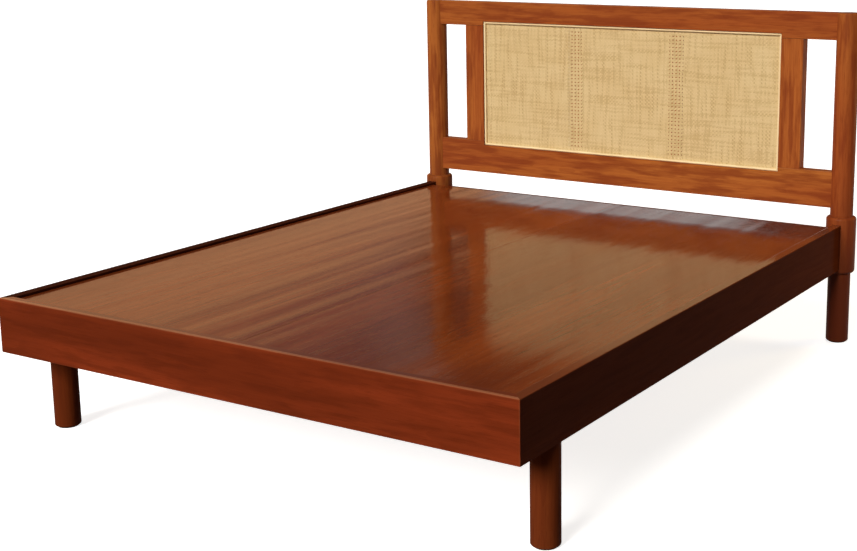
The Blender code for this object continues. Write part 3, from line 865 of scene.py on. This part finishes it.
def quarter_round(corner: Range, radius: float, start: float, steps: int) -> Profile:
    """Points of a turned arc, a quarter turn down from its start.

    Args:
        corner: Radius and height of the arc's own centre.
        radius: Its radius.
        start: Angle at its first point.
        steps: How many chords it has.

    Returns:
        Radius and height of each point.
    """
    angles = [start - math.pi / 2 * step / steps for step in range(steps + 1)]
    return [(corner[0] + radius * math.cos(a), corner[1] + radius * math.sin(a)) for a in angles]


def foot_profile(box: Corners, rounding: float, steps: int) -> Profile:
    """Outline of a plain turned piece with a rounded foot.

    Args:
        box: The piece's corners.
        rounding: Radius of the foot's edge.
        steps: How many chords that edge has.

    Returns:
        Radius and height of each point, from top to bottom.
    """
    radius = (box[1].x - box[0].x) / 2
    heel = (radius - rounding, box[0].z + rounding)
    edge = quarter_round(heel, rounding, 0.0, steps)
    return [(0.0, box[1].z), (radius, box[1].z), *edge, (0.0, box[0].z)]


def turn(profile: Profile, axis: Vector, steps: int) -> bmesh.types.BMesh:
    """Turn a profile once round an upright axis.

    Args:
        profile: Radius and height of each point, from top to bottom.
        axis: Point on the axis.
        steps: How many faces there are in the turn.

    Returns:
        The closed shape, in place.
    """
    shape = bmesh.new()
    points = [shape.verts.new((radius, 0, height)) for radius, height in profile]
    line = [shape.edges.new(pair) for pair in zip(points, points[1:])]
    bmesh.ops.spin(
        shape,
        geom=points + line,
        cent=(0, 0, 0),
        axis=(0, 0, 1),
        angle=2 * math.pi,
        steps=steps,
        use_merge=True,
    )
    bmesh.ops.remove_doubles(shape, verts=shape.verts, dist=WELD)
    bmesh.ops.recalc_face_normals(shape, faces=shape.faces)
    bmesh.ops.translate(shape, vec=(axis.x, axis.y, 0), verts=shape.verts)
    return shape


def block(box: Corners) -> bmesh.types.BMesh:
    """A box between two corners.

    Args:
        box: Lowest and highest corner.

    Returns:
        The closed shape.
    """
    shape = bmesh.new()
    bmesh.ops.create_cube(shape, size=1.0)
    bmesh.ops.scale(shape, vec=box[1] - box[0], verts=shape.verts)
    bmesh.ops.translate(shape, vec=middle(box), verts=shape.verts)
    return shape


def rod(start: Vector, end: Vector, radius: float) -> bmesh.types.BMesh:
    """A round bar between two points.

    Args:
        start: Middle of its first end.
        end: Middle of its other end.
        radius: Its radius.

    Returns:
        The closed shape.
    """
    shape = bmesh.new()
    reach = (end - start).length
    bmesh.ops.create_cone(
        shape, cap_ends=True, segments=ROD_FACES, radius1=radius, radius2=radius, depth=reach
    )
    bmesh.ops.rotate(shape, matrix=(end - start).to_track_quat("Z", "Y").to_matrix(), verts=shape.verts)
    bmesh.ops.translate(shape, vec=(start + end) / 2, verts=shape.verts)
    return shape


def new_object(name: str, shape: bmesh.types.BMesh) -> bpy.types.Object:
    """Put a shape into the scene.

    Args:
        name: The object's name.
        shape: Its shape, which is used up.

    Returns:
        The new object, at the origin.
    """
    mesh = bpy.data.meshes.new(name)
    shape.to_mesh(mesh)
    shape.free()
    made = bpy.data.objects.new(name, mesh)
    bpy.context.scene.collection.objects.link(made)
    return made


def settle(made: bpy.types.Object) -> None:
    """Apply an object's modifiers."""
    graph = bpy.context.evaluated_depsgraph_get()
    mesh = bpy.data.meshes.new_from_object(made.evaluated_get(graph))
    made.modifiers.clear()
    made.data = mesh


def carve(made: bpy.types.Object, hollows: Sequence[bmesh.types.BMesh]) -> None:
    """Take hollows out of an object.

    Args:
        made: The object.
        hollows: Shape of each hollow.
    """
    tools = [new_object(f"{made.name}_hollow_{number}", hollow) for number, hollow in enumerate(hollows)]
    for tool in tools:
        step = made.modifiers.new(tool.name, "BOOLEAN")
        step.operation = "DIFFERENCE"
        step.solver = "EXACT"
        step.object = tool
    settle(made)
    for tool in tools:
        bpy.data.objects.remove(tool)


def finish_piece(made: bpy.types.Object, material: bpy.types.Material, stands_for: str) -> None:
    """Shade, dress and hand over a new piece.

    Args:
        made: The piece.
        material: Its finish.
        stands_for: The solid that it replaces.
    """
    made.data.shade_smooth()
    made.data.set_sharp_from_angle(angle=SMOOTH_BEND)
    made.data.materials.clear()
    made.data.materials.append(material)
    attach(made, BODY)
    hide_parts(stands_for)
    LOG.info("%s: %d faces, stands for %s", made.name, len(made.data.polygons), stands_for)


@dataclass(frozen=True)
class Housing:
    """How far a rail stands in a post: its own end, and a tenon inside a shoulder beyond it."""

    rail: str
    tenon: float = 0.0
    shoulder: float = 0.0

    def hollows(self) -> list[bmesh.types.BMesh]:
        """Shapes that the rail's end and tenon need in the post.

        Returns:
            Shape of each hollow.
        """
        low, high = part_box(self.rail)
        clear = Vector((GAP, GAP, GAP))
        inward = Vector((self.tenon, 0, 0)) - clear
        shapes = [block((low + inward, high - inward))]
        if self.tenon:
            thinner = Vector((0, self.shoulder, self.shoulder)) - clear
            shapes.append(block((low + thinner, high - thinner)))
        return shapes


@dataclass
class HeadPost:
    """A turned post: leg, collar that takes the rails, and upright flush with the headboard's top."""

    side: Side
    heart: Place
    upright_radius: float = 0.038
    leg_radius: float = 0.0375
    collar_rise: float = 0.024
    collar_drop: float = 0.014
    collar_rounding: float = 0.010
    top_rounding: float = 0.006
    foot_rounding: float = 0.005
    bolt_clearance: float = 0.0005
    bolt_radius: float = 0.004
    head_height: float = 0.006
    steps: int = 96
    arc_steps: int = 6

    def profile(self, box: Corners, rail: Corners) -> Profile:
        """Outline of the post from top to bottom.

        Args:
            box: Corners of the post's solid.
            rail: Corners of the side rail that runs into the collar.

        Returns:
            Radius and height of each point.
        """
        top = box[1].z
        foot = box[0].z
        collar = (box[1].x - box[0].x) / 2
        collar_top = rail[1].z + self.collar_rise
        collar_foot = rail[0].z - self.collar_drop
        flat = collar - self.collar_rounding
        crown = (self.upright_radius - self.top_rounding, top - self.top_rounding)
        shoulder = (flat, collar_top - self.collar_rounding)
        hem = (flat, collar_foot + self.collar_rounding)
        heel = (self.leg_radius - self.foot_rounding, foot + self.foot_rounding)
        outward = 0.0
        upward = math.pi / 2
        return [
            (0.0, top),
            *quarter_round(crown, self.top_rounding, upward, self.arc_steps),
            (self.upright_radius, collar_top),
            *quarter_round(shoulder, self.collar_rounding, upward, self.arc_steps),
            *quarter_round(hem, self.collar_rounding, outward, self.arc_steps),
            (self.leg_radius, collar_foot),
            *quarter_round(heel, self.foot_rounding, outward, self.arc_steps),
            (0.0, foot),
        ]

    def hollows(self) -> list[bmesh.types.BMesh]:
        """Housings of the rails and sinkings of the bed bolts.

        Returns:
            Shape of each hollow.
        """
        shapes = []
        for housing in (
            Housing(f"{self.side.value}_side_rail"),
            Housing("head_rail", tenon=0.014, shoulder=0.008),
            Housing("headboard_bottom_rail", tenon=0.020, shoulder=0.011),
            Housing("headboard_top_rail", tenon=0.020, shoulder=0.011),
        ):
            shapes += housing.hollows()
        for level in ("low", "high"):
            low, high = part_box(f"{self.side.value}_{level}_bed_bolt")
            centre = middle((low, high))
            seat = Vector((centre.x, high.y - self.head_height - GAP, centre.z))
            mouth = Vector((centre.x, high.y + self.collar_rounding * 2, centre.z))
            tip = Vector((centre.x, low.y - GAP, centre.z))
            shapes.append(rod(seat, mouth, (high.x - low.x) / 2 + self.bolt_clearance))
            shapes.append(rod(tip, seat, self.bolt_radius + self.bolt_clearance))
        return shapes

    def build(self) -> None:
        """Turn, carve and dress the post."""
        node = f"{self.side.value}_post"
        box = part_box(node)
        profile = self.profile(box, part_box(f"{self.side.value}_side_rail"))
        made = new_object(f"{node}_turned", turn(profile, middle(box), self.steps))
        carve(made, self.hollows())
        material = POST_STAIN_WITH_PAINTED_SHADE.material(made.name, Cut(Grain.ALONG_Z, box, self.heart))
        finish_piece(made, material, node)


@dataclass
class TurnedLeg:
    """A plain turned leg with a rounded foot, bored for its bolt."""

    node: str
    bolt: str | None = None
    stain_and_painted_shade: LacqueredTimber = LEG_STAIN
    heart: Place = (0.2, 0.05, 0.02)
    foot_rounding: float = 0.005
    bolt_clearance: float = 0.0005
    steps: int = 72
    arc_steps: int = 6

    def build(self) -> None:
        """Turn, bore and dress the leg, whose grain differs with its place under the bed."""
        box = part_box(self.node)
        profile = foot_profile(box, self.foot_rounding, self.arc_steps)
        made = new_object(f"{self.node}_turned", turn(profile, middle(box), self.steps))
        if self.bolt:
            low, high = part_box(self.bolt)
            axis = middle((low, high))
            start = Vector((axis.x, axis.y, low.z - GAP))
            end = Vector((axis.x, axis.y, high.z))
            carve(made, [rod(start, end, (high.x - low.x) / 2 + self.bolt_clearance)])
        along, across, up = self.heart
        cut = Cut(Grain.ALONG_Z, box, (along + box[0].x + box[0].y, across, up))
        finish_piece(made, self.stain_and_painted_shade.material(made.name, cut), self.node)


@dataclass
class FeltGlide:
    """A felt disc under a leg."""

    node: str
    rounding: float = 0.001
    steps: int = 72
    arc_steps: int = 6

    def build(self, felt: PressedFelt, material: bpy.types.Material) -> None:
        """Turn and dress the glide.

        Args:
            felt: Its finish; not used.
            material: That finish's material.
        """
        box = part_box(self.node)
        profile = foot_profile(box, self.rounding, self.arc_steps)
        made = new_object(f"{self.node}_felt", turn(profile, middle(box), self.steps))
        finish_piece(made, material, self.node)


@dataclass(frozen=True)
class Weave:
    """Half the distance between the two strands of a pair, and the width of one strand."""

    spread: float
    width: float


@dataclass
class CaneSheet:
    """Cane: pairs of upright and level strands and diagonals behind them, more open over the muntins."""

    node: str = "cane_panel"
    muntins: tuple[str, ...] = ("muntin_1", "muntin_2")
    columns: int = 88
    rows: int = 36
    close_weave: Weave = Weave(0.00305, 0.0058)
    open_weave: Weave = Weave(0.0024, 0.0042)
    diagonal_width: float = 0.0034
    strand_thickness: float = 0.0002
    lift: float = 0.0001
    sink: float = 0.0004

    def strand(self, shape: bmesh.types.BMesh, route: Sequence[Vector], width: float) -> None:
        """Lay one flat strand through one cell of the weave.

        Args:
            shape: Shape that takes the strand.
            route: Points of its middle line.
            width: Its width.
        """
        through = Vector((0, 1, 0))
        run = (route[-1] - route[0]).normalized()
        run.y = 0
        ring = bmesh.ops.create_circle(shape, cap_ends=False, segments=4, radius=0.5)["verts"]
        stand = Matrix((run.cross(through) * width, through * self.strand_thickness, run)).transposed()
        bmesh.ops.transform(shape, matrix=stand.to_4x4(), verts=ring)
        bmesh.ops.translate(shape, vec=route[0], verts=ring)
        edges = list({edge for vert in ring for edge in vert.link_edges})
        for before, after in zip(route, route[1:]):
            grown = bmesh.ops.extrude_edge_only(shape, edges=edges)["geom"]
            verts = [part for part in grown if isinstance(part, bmesh.types.BMVert)]
            edges = [part for part in grown if isinstance(part, bmesh.types.BMEdge)]
            bmesh.ops.translate(shape, vec=after - before, verts=verts)

    def cell(self, way: Strand, weave: Weave, pitch_x: float, pitch_z: float) -> bmesh.types.BMesh:
        """Strands of one way in one cell, round a crossing at the origin.

        Args:
            way: Which strands to lay.
            weave: Spread and width of the strands in a pair.
            pitch_x: Width of the cell.
            pitch_z: Height of the cell.

        Returns:
            The cell's shape.
        """
        shape = bmesh.new()
        x = pitch_x / 2
        z = pitch_z / 2
        lift = self.lift
        spread = weave.spread
        if way is Strand.UPRIGHT:
            for place, first in ((-spread, -lift), (spread, lift)):
                stops = ((-z, 0), (-spread, first), (spread, -first), (z, 0))
                self.strand(shape, [Vector((place, y, height)) for height, y in stops], weave.width)
        elif way is Strand.LEVEL:
            for place, first in ((-spread, lift), (spread, -lift)):
                stops = ((-x, 0), (-spread, first), (spread, -first), (x, 0))
                self.strand(shape, [Vector((along, y, place)) for along, y in stops], weave.width)
        else:
            rise = 1 if way is Strand.RISING else -1
            back = Vector((0, self.sink, 0))
            for start, end, first in (
                (Vector((-x, 0, 0)), Vector((0, 0, z * rise)), -lift * rise),
                (Vector((0, 0, -z * rise)), Vector((x, 0, 0)), lift * rise),
            ):
                lean = Vector((0, first, 0))
                route = [start + back + lean, (start + end) / 2 + back, end + back - lean]
                self.strand(shape, route, self.diagonal_width)
        return shape

    def runs(self, first: float, pitch: float) -> list[tuple[Weave, int]]:
        """Columns that follow each other with the same weave.

        Args:
            first: Middle of the first column.
            pitch: Width of a column.

        Returns:
            Weave and number of columns of each run, from left to right.
        """
        boxes = [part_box(muntin) for muntin in self.muntins]
        middles = [first + pitch * column for column in range(self.columns)]
        backed = [any(low.x < place < high.x for low, high in boxes) for place in middles]
        weaves = {True: self.open_weave, False: self.close_weave}
        return [(weaves[is_backed], len(list(run))) for is_backed, run in groupby(backed)]

    def repeat(self, shape: bmesh.types.BMesh, steps: Sequence[tuple[int, Vector]]) -> bpy.types.Mesh:
        """Copy a cell along rows and columns.

        Args:
            shape: The cell, which is used up.
            steps: How many cells there are and how far apart, for each direction.

        Returns:
            The mesh of all cells.
        """
        made = new_object("cane_cells", shape)
        for count, step in steps:
            copies = made.modifiers.new("copies", "ARRAY")
            copies.count = count
            copies.use_relative_offset = False
            copies.use_constant_offset = True
            copies.constant_offset_displace = step
            copies.use_merge_vertices = True
            copies.merge_threshold = WELD
        settle(made)
        mesh = made.data
        bpy.data.objects.remove(made)
        return mesh

    def build(self) -> None:
        """Weave the sheet, one piece for each way that its strands run."""
        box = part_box(self.node)
        size = box[1] - box[0]
        pitch_x = size.x / self.columns
        pitch_z = size.z / self.rows
        first = Vector((box[0].x + pitch_x / 2, middle(box).y, box[0].z + pitch_z / 2))
        runs = self.runs(first.x, pitch_x)
        across = Vector((pitch_x, 0, 0))
        up = Vector((0, 0, pitch_z))
        for way in Strand:
            sheet = bmesh.new()
            start = first.copy()
            for weave, count in runs:
                shape = self.cell(way, weave, pitch_x, pitch_z)
                bmesh.ops.translate(shape, vec=start, verts=shape.verts)
                sheet.from_mesh(self.repeat(shape, ((count, across), (self.rows, up))))
                start += across * count
            bmesh.ops.remove_doubles(sheet, verts=sheet.verts, dist=WELD)
            ends = [edge for edge in sheet.edges if edge.is_boundary]
            bmesh.ops.holes_fill(sheet, edges=ends, sides=4)
            bmesh.ops.recalc_face_normals(sheet, faces=sheet.faces)
            made = new_object(way.value, sheet)
            finish_and_painted_light = CANE_FINISHES_AND_PAINTED_SHADE[way]
            finish_piece(made, finish_and_painted_light.material(way.value), self.node)


@dataclass
class RattanBeads:
    """Half-round beads of split rattan, mitred round the edge of the cane."""

    cane: str = "cane_panel"
    nodes: tuple[str, ...] = ("bead_bottom", "bead_top", "bead_left", "bead_right")
    rounding_steps: int = 8

    def bead(self, node: str, centre: Vector) -> bmesh.types.BMesh:
        """Round the crown of one bead and cut its mitres.

        Args:
            node: The solid that it replaces.
            centre: Middle of the cane.

        Returns:
            The bead's shape.
        """
        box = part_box(node)
        size = box[1] - box[0]
        run = Vector((1, 0, 0)) if size.x > size.z else Vector((0, 0, 1))
        across = Vector((1, 0, 1)) - run
        width = size.dot(across)
        outer = ((middle(box) - centre) * across).normalized()
        shape = block(box)
        crown = [
            edge
            for edge in shape.edges
            if abs((edge.verts[1].co - edge.verts[0].co).dot(run)) > size.dot(run) / 2
            and edge.verts[0].co.y < middle(box).y
        ]
        bmesh.ops.bevel(
            shape,
            geom=crown,
            offset=min(size.y, width) / 2 - GAP,
            segments=self.rounding_steps,
            profile=0.5,
            affect="EDGES",
            material=-1,
        )
        for end in (-1, 1):
            outward = (run * end - outer).normalized()
            tip = middle(box) + run * end * size.dot(run) / 2 + outer * (width / 2)
            geometry = shape.verts[:] + shape.edges[:] + shape.faces[:]
            bmesh.ops.bisect_plane(
                shape, geom=geometry, plane_co=tip - outward * GAP / 2, plane_no=outward, clear_outer=True
            )
            rim = [edge for edge in shape.edges if edge.is_boundary]
            bmesh.ops.holes_fill(shape, edges=rim, sides=0)
        return shape

    def build(self) -> None:
        """Shape and dress the beads."""
        centre = middle(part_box(self.cane))
        material = RATTAN.material("beads")
        for node in self.nodes:
            made = new_object(f"{node}_rattan", self.bead(node, centre))
            finish_piece(made, material, node)


@dataclass
class Headboard:
    """Posts, tenoned frame, back board, cane and beads."""

    posts: tuple[HeadPost, ...] = field(
        default_factory=lambda: (
            HeadPost(Side.LEFT, (3.1, 0.045, 0.03)),
            HeadPost(Side.RIGHT, (1.1, 0.045, 0.03)),
        )
    )
    boards: tuple[Board, ...] = (
        Board("headboard_bottom_rail", FRAME_STAIN, Grain.ALONG_X, (2.9, 0.10, 0.03)),
        Board("headboard_top_rail", FRAME_STAIN, Grain.ALONG_X, (3.1, 0.12, -0.04)),
        Board("left_stile", STILE_STAIN, Grain.ALONG_Z, (7.1, 0.03, 0.09)),
        Board("right_stile", STILE_STAIN, Grain.ALONG_Z, (6.4, -0.02, 0.11)),
        Board("muntin_1", HEADBOARD_STAIN, Grain.ALONG_Z, (2.3, 0.04, 0.07)),
        Board("muntin_2", HEADBOARD_STAIN, Grain.ALONG_Z, (4.4, 0.04, 0.08)),
        Board("back_panel", BACK_BOARD, Grain.ALONG_X, (0.0, 0.30, 0.2)),
    )
    cane: CaneSheet = field(default_factory=CaneSheet)
    beads: RattanBeads = field(default_factory=RattanBeads)

    def build(self) -> None:
        """Build and dress the headboard."""
        for post in self.posts:
            post.build()
        for board in self.boards:
            board.dress()
        self.cane.build()
        self.beads.build()


@dataclass
class BedBase:
    """Rails, deck, the legs under them and all glides."""

    boards: tuple[Board, ...] = (
        Board("footboard", FOOT_STAIN_WITH_PAINTED_HIGHLIGHT, Grain.ALONG_X, (8.6, 0.11, 0.05)),
        Board("left_side_rail", LEFT_RAIL_PAINTED_SHADE, Grain.ALONG_Y, (2.6, 0.12, 0.04)),
        Board("right_side_rail", RIGHT_RAIL_STAIN_WITH_PAINTED_HIGHLIGHT, Grain.ALONG_Y, (4.9, 0.10, -0.05)),
        Board("head_rail", RAIL_STAIN, Grain.ALONG_X, (7.3, 0.13, 0.05)),
        Board("left_deck", DECK_STAIN, Grain.ALONG_Y, (0.7, 0.62, 0.25)),
        Board("right_deck", DECK_STAIN, Grain.ALONG_Y, (3.9, -0.66, 0.28)),
    )
    legs: tuple[TurnedLeg, ...] = field(
        default_factory=lambda: (
            TurnedLeg("left_front_leg", "left_hanger_bolt", LEFT_LEG_PAINTED_SHADE),
            TurnedLeg("right_front_leg", "right_hanger_bolt"),
            TurnedLeg("centre_leg_1"),
            TurnedLeg("centre_leg_2"),
        )
    )
    glides: tuple[str, ...] = (
        "left_front_glide",
        "right_front_glide",
        "centre_glide_1",
        "centre_glide_2",
        "left_post_glide",
        "right_post_glide",
    )

    def build(self) -> None:
        """Build and dress the base."""
        for board in self.boards:
            board.dress()
        for leg in self.legs:
            leg.build()
        felt = PressedFelt()
        material = felt.material()
        for glide in self.glides:
            FeltGlide(glide).build(felt, material)


@dataclass
class UnderFrame:
    """Bare timber that carries the deck, and the steel that holds the bed together."""

    bearers: int = 6
    fasteners: tuple[str, ...] = (
        "hanger_bolt",
        "high_barrel_nut",
        "high_bed_bolt",
        "low_barrel_nut",
        "low_bed_bolt",
        "footboard_screw",
        "rail_screw",
    )

    def boards(self) -> list[Board]:
        """List the bare pieces, each from another place of its tree.

        Returns:
            The pieces.
        """
        rows = [(f"bearer_{n}", Grain.ALONG_X, (1.7 * n, 0.05, 0.04)) for n in range(1, self.bearers + 1)]
        rows.append(("centre_beam", Grain.ALONG_Y, (1.2, 0.03, 0.06)))
        rows.append(("foot_beam_seat", Grain.ALONG_X, (0.0, 0.05, 0.02)))
        rows.append(("head_beam_seat", Grain.ALONG_X, (2.1, 0.05, 0.02)))
        for number, side in enumerate(Side):
            rows.append((f"{side.value}_ledger", Grain.ALONG_Y, (5.3 + number, 0.04, 0.03)))
            for name in ("corner_block", "leg_block"):
                rows.append((f"{side.value}_{name}", Grain.ALONG_Z, (8.1 + number, 0.05, 0.03)))
        return [Board(node, PLAIN_WOOD, grain, heart) for node, grain, heart in rows]

    def build(self) -> None:
        """Dress the hidden pieces."""
        for board in self.boards():
            board.dress()
        steel = PlatedSteel()
        material = steel.material()
        for side in Side:
            for name in self.fasteners:
                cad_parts[f"{side.value}_{name}"].material_slots[0].material = material
                LOG.info("%s_%s: %s", side.value, name, steel.slot)


@dataclass(frozen=True)
class PhotoCamera:
    """Camera at the photograph's viewing angle, worked out in its own pixels."""

    image_width: int = 857
    image_height: int = 551
    place: Place = (2.376, -3.552, 1.421)
    azimuth: float = 30.92
    elevation: float = 11.53
    roll: float = -0.22
    focal_pixels: float = 1435.0
    centre_pixel: Range = (540.0, 210.0)
    sensor_width: float = 36.0
    reach: float = 200.0

    def build(self) -> None:
        """Place the camera and make it the scene's own."""
        data = bpy.data.cameras.new("photo_camera")
        data.sensor_width = self.sensor_width
        data.lens = self.focal_pixels / self.image_width * self.sensor_width
        data.shift_x = (self.image_width / 2 - self.centre_pixel[0]) / self.image_width
        data.shift_y = (self.centre_pixel[1] - self.image_height / 2) / self.image_width
        data.clip_end = self.reach
        camera = bpy.data.objects.new("photo_camera", data)
        turn_round = Matrix.Rotation(math.radians(self.azimuth), 4, "Z")
        look_down = Matrix.Rotation(math.radians(90 - self.elevation), 4, "X")
        lean = Matrix.Rotation(math.radians(self.roll), 4, "Z")
        camera.matrix_world = Matrix.Translation(self.place) @ turn_round @ look_down @ lean
        bpy.context.scene.collection.objects.link(camera)
        bpy.context.scene.camera = camera
        LOG.info("camera: %.1f mm", data.lens)


def hang_lamp(name: str, kind: str, place: Vector, back: Vector, **settings: object) -> None:
    """Hang a lamp.

    Args:
        name: The lamp's name.
        kind: Blender's name for the type of lamp.
        place: Where it hangs.
        back: Direction from what it lights to the lamp.
        settings: Properties to set on it.
    """
    data = bpy.data.lights.new(name, kind)
    for setting, value in settings.items():
        setattr(data, setting, value)
    lamp = bpy.data.objects.new(name, data)
    lamp.location = place
    lamp.rotation_euler = back.to_track_quat("Z", "Y").to_euler()
    bpy.context.scene.collection.objects.link(lamp)


@dataclass(frozen=True)
class SoftSun:
    """A wide, distant lamp that shines from one side."""

    name: str
    shines_from: Place
    strength: float
    spread: float
    colour: Place = (1.0, 1.0, 1.0)
    distance: float = 6.0

    def build(self) -> None:
        """Hang the lamp on the side that it shines from."""
        back = Vector(self.shines_from)
        place = back.normalized() * self.distance
        spread = math.radians(self.spread)
        hang_lamp(self.name, "SUN", place, back, energy=self.strength, angle=spread, color=self.colour)


@dataclass(frozen=True)
class SoftPanel:
    """A square lamp that faces a point of the bed."""

    name: str
    place: Place
    faces: Place
    power: float
    size: float
    colour: Place = (1.0, 1.0, 1.0)

    def build(self) -> None:
        """Hang the lamp and turn it."""
        place = Vector(self.place)
        back = place - Vector(self.faces)
        hang_lamp(self.name, "AREA", place, back, energy=self.power, size=self.size, color=self.colour)


@dataclass(frozen=True)
class FarWall:
    """A lit band low in the dome, whose rim sinks towards the right."""

    colour: Colour
    lean: float
    rim: Range

    def paint(self, wires: Wiring, side: object, height: object, above: object) -> bpy.types.NodeSocket:
        """Paint the band under what is above it.

        Args:
            wires: The world's wiring.
            side: Output with how far to the right a direction points.
            height: Output with how far up it points.
            above: Colour or output over the rim.

        Returns:
            The output with the colour of both.
        """
        level = wires.maths("ADD", height, wires.maths("MULTIPLY", side, self.lean))
        return wires.blend(wires.span(level, self.rim), self.colour, above)


@dataclass(frozen=True)
class SoftPatch:
    """A small, round patch of light in the dome."""

    colour: Colour
    side: float
    height: float
    reach: Range

    def paint(self, wires: Wiring, direction: object, under: object) -> bpy.types.NodeSocket:
        """Paint the patch over what is under it.

        Args:
            wires: The world's wiring.
            direction: Output with the direction that is looked in.
            under: Colour or output round the patch.

        Returns:
            The output with the colour of both.
        """
        flat = wires.vector("MULTIPLY", direction, (1.0, 0.0, 1.0))
        away = wires.vector("DISTANCE", flat, (self.side, 0.0, self.height), output="Value")
        return wires.blend(wires.span(away, self.reach, (1.0, 0.0)), under, self.colour)


@dataclass
class Studio:
    """Pale floor, soft lamps and a dim dome with bright walls, mist and a patch of light low round it."""

    floor_size: float = 160.0
    floor_parts: int = 8
    floor_colour: Colour = (0.90, 0.90, 0.89, 1.0)
    bounce_colour: Colour = (0.11, 0.10, 0.09, 1.0)
    floor_glow: float = 0.8
    warm_wall: FarWall = FarWall((0.83, 0.465, 0.235, 1.0), 0.7, (-0.215, -0.152))
    warm_side: Range = (-0.545, -0.515)
    plain_wall: FarWall = FarWall((0.73, 0.84, 0.84, 1.0), 0.0, (0.21, 0.23))
    plain_side: Range = (-0.39, -0.36)
    mist: FarWall = FarWall((0.08, 0.105, 0.14, 1.0), 0.3, (0.125, 0.15))
    mist_side: Range = (-0.58, -0.56)
    patch: SoftPatch = SoftPatch((0.25, 0.29, 0.28, 1.0), -0.567, 0.294, (0.006, 0.030))
    dome: Colour = (0.030, 0.026, 0.024, 1.0)
    lamps: tuple[SoftSun | SoftPanel, ...] = (
        SoftSun("key", (-0.02, -0.87, 0.50), 3.2, 25.0, (1.0, 0.97, 0.93)),
        SoftSun("back_fill", (-0.1, 0.45, 0.89), 0.4, 20.0),
        SoftPanel("rear_fill", (2.1, 2.3, 0.9), (0.8, 0.6, 0.3), 15.0, 1.0, (1.0, 0.74, 0.30)),
    )

    def build_floor(self) -> None:
        """Lay a floor that is pale to the eye and in reflections, and dim to bounced light."""
        shape = bmesh.new()
        parts = self.floor_parts
        bmesh.ops.create_grid(shape, x_segments=parts, y_segments=parts, size=self.floor_size / 2)
        floor = new_object("studio_floor", shape)
        material, wires, shader = new_material("pale_floor")
        material.node_tree.nodes.remove(shader)
        seen = wires.add("ShaderNodeLightPath").outputs
        direct = wires.maths("MAXIMUM", seen["Is Camera Ray"], seen["Is Glossy Ray"])
        direct = wires.maths("MAXIMUM", direct, seen["Is Transmission Ray"])
        paint = wires.add("ShaderNodeBsdfDiffuse")
        wires.feed(paint.inputs["Color"], wires.blend(direct, self.bounce_colour, self.floor_colour))
        glow = wires.add("ShaderNodeEmission")
        wires.feed(glow.inputs["Strength"], wires.maths("MULTIPLY", direct, self.floor_glow))
        both = wires.add("ShaderNodeAddShader")
        wires.feed(both.inputs[0], paint.outputs["BSDF"])
        wires.feed(both.inputs[1], glow.outputs["Emission"])
        surface = material.node_tree.nodes["Material Output"].inputs["Surface"]
        wires.feed(surface, both.outputs["Shader"])
        floor.data.materials.append(material)

    def build_dome(self) -> None:
        """Give the world a warm wall on the left, a plain one beside it, mist and a dim dome above."""
        world = bpy.data.worlds.new("studio_dome")
        world.use_nodes = True
        bpy.context.scene.world = world
        wires = Wiring(world.node_tree)
        direction = wires.add("ShaderNodeTexCoord").outputs["Generated"]
        side, _, height = wires.parts(direction)
        hazy = self.mist.paint(wires, side, height, self.dome)
        above = wires.blend(wires.span(side, self.mist_side), hazy, self.dome)
        above = self.patch.paint(wires, direction, above)
        warm = self.warm_wall.paint(wires, side, height, above)
        plain = self.plain_wall.paint(wires, side, height, above)
        plain = wires.blend(wires.span(side, self.plain_side), plain, above)
        sky = wires.blend(wires.span(side, self.warm_side), warm, plain)
        wires.feed(world.node_tree.nodes["Background"].inputs["Color"], sky)

    def build(self) -> None:
        """Set up the floor, the dome and the lamps."""
        self.build_floor()
        self.build_dome()
        for lamp in self.lamps:
            lamp.build()
        bpy.context.scene.view_settings.view_transform = "Standard"


def main() -> None:
    """Build the bed's looks and the studio round it."""
    logging.basicConfig(level=logging.INFO, format="%(message)s")
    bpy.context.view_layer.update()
    timber_grain()
    edge_wear()
    reed_fibre()
    Headboard().build()
    BedBase().build()
    UnderFrame().build()
    PhotoCamera().build()
    Studio().build()


if __name__ == "__main__":
    main()
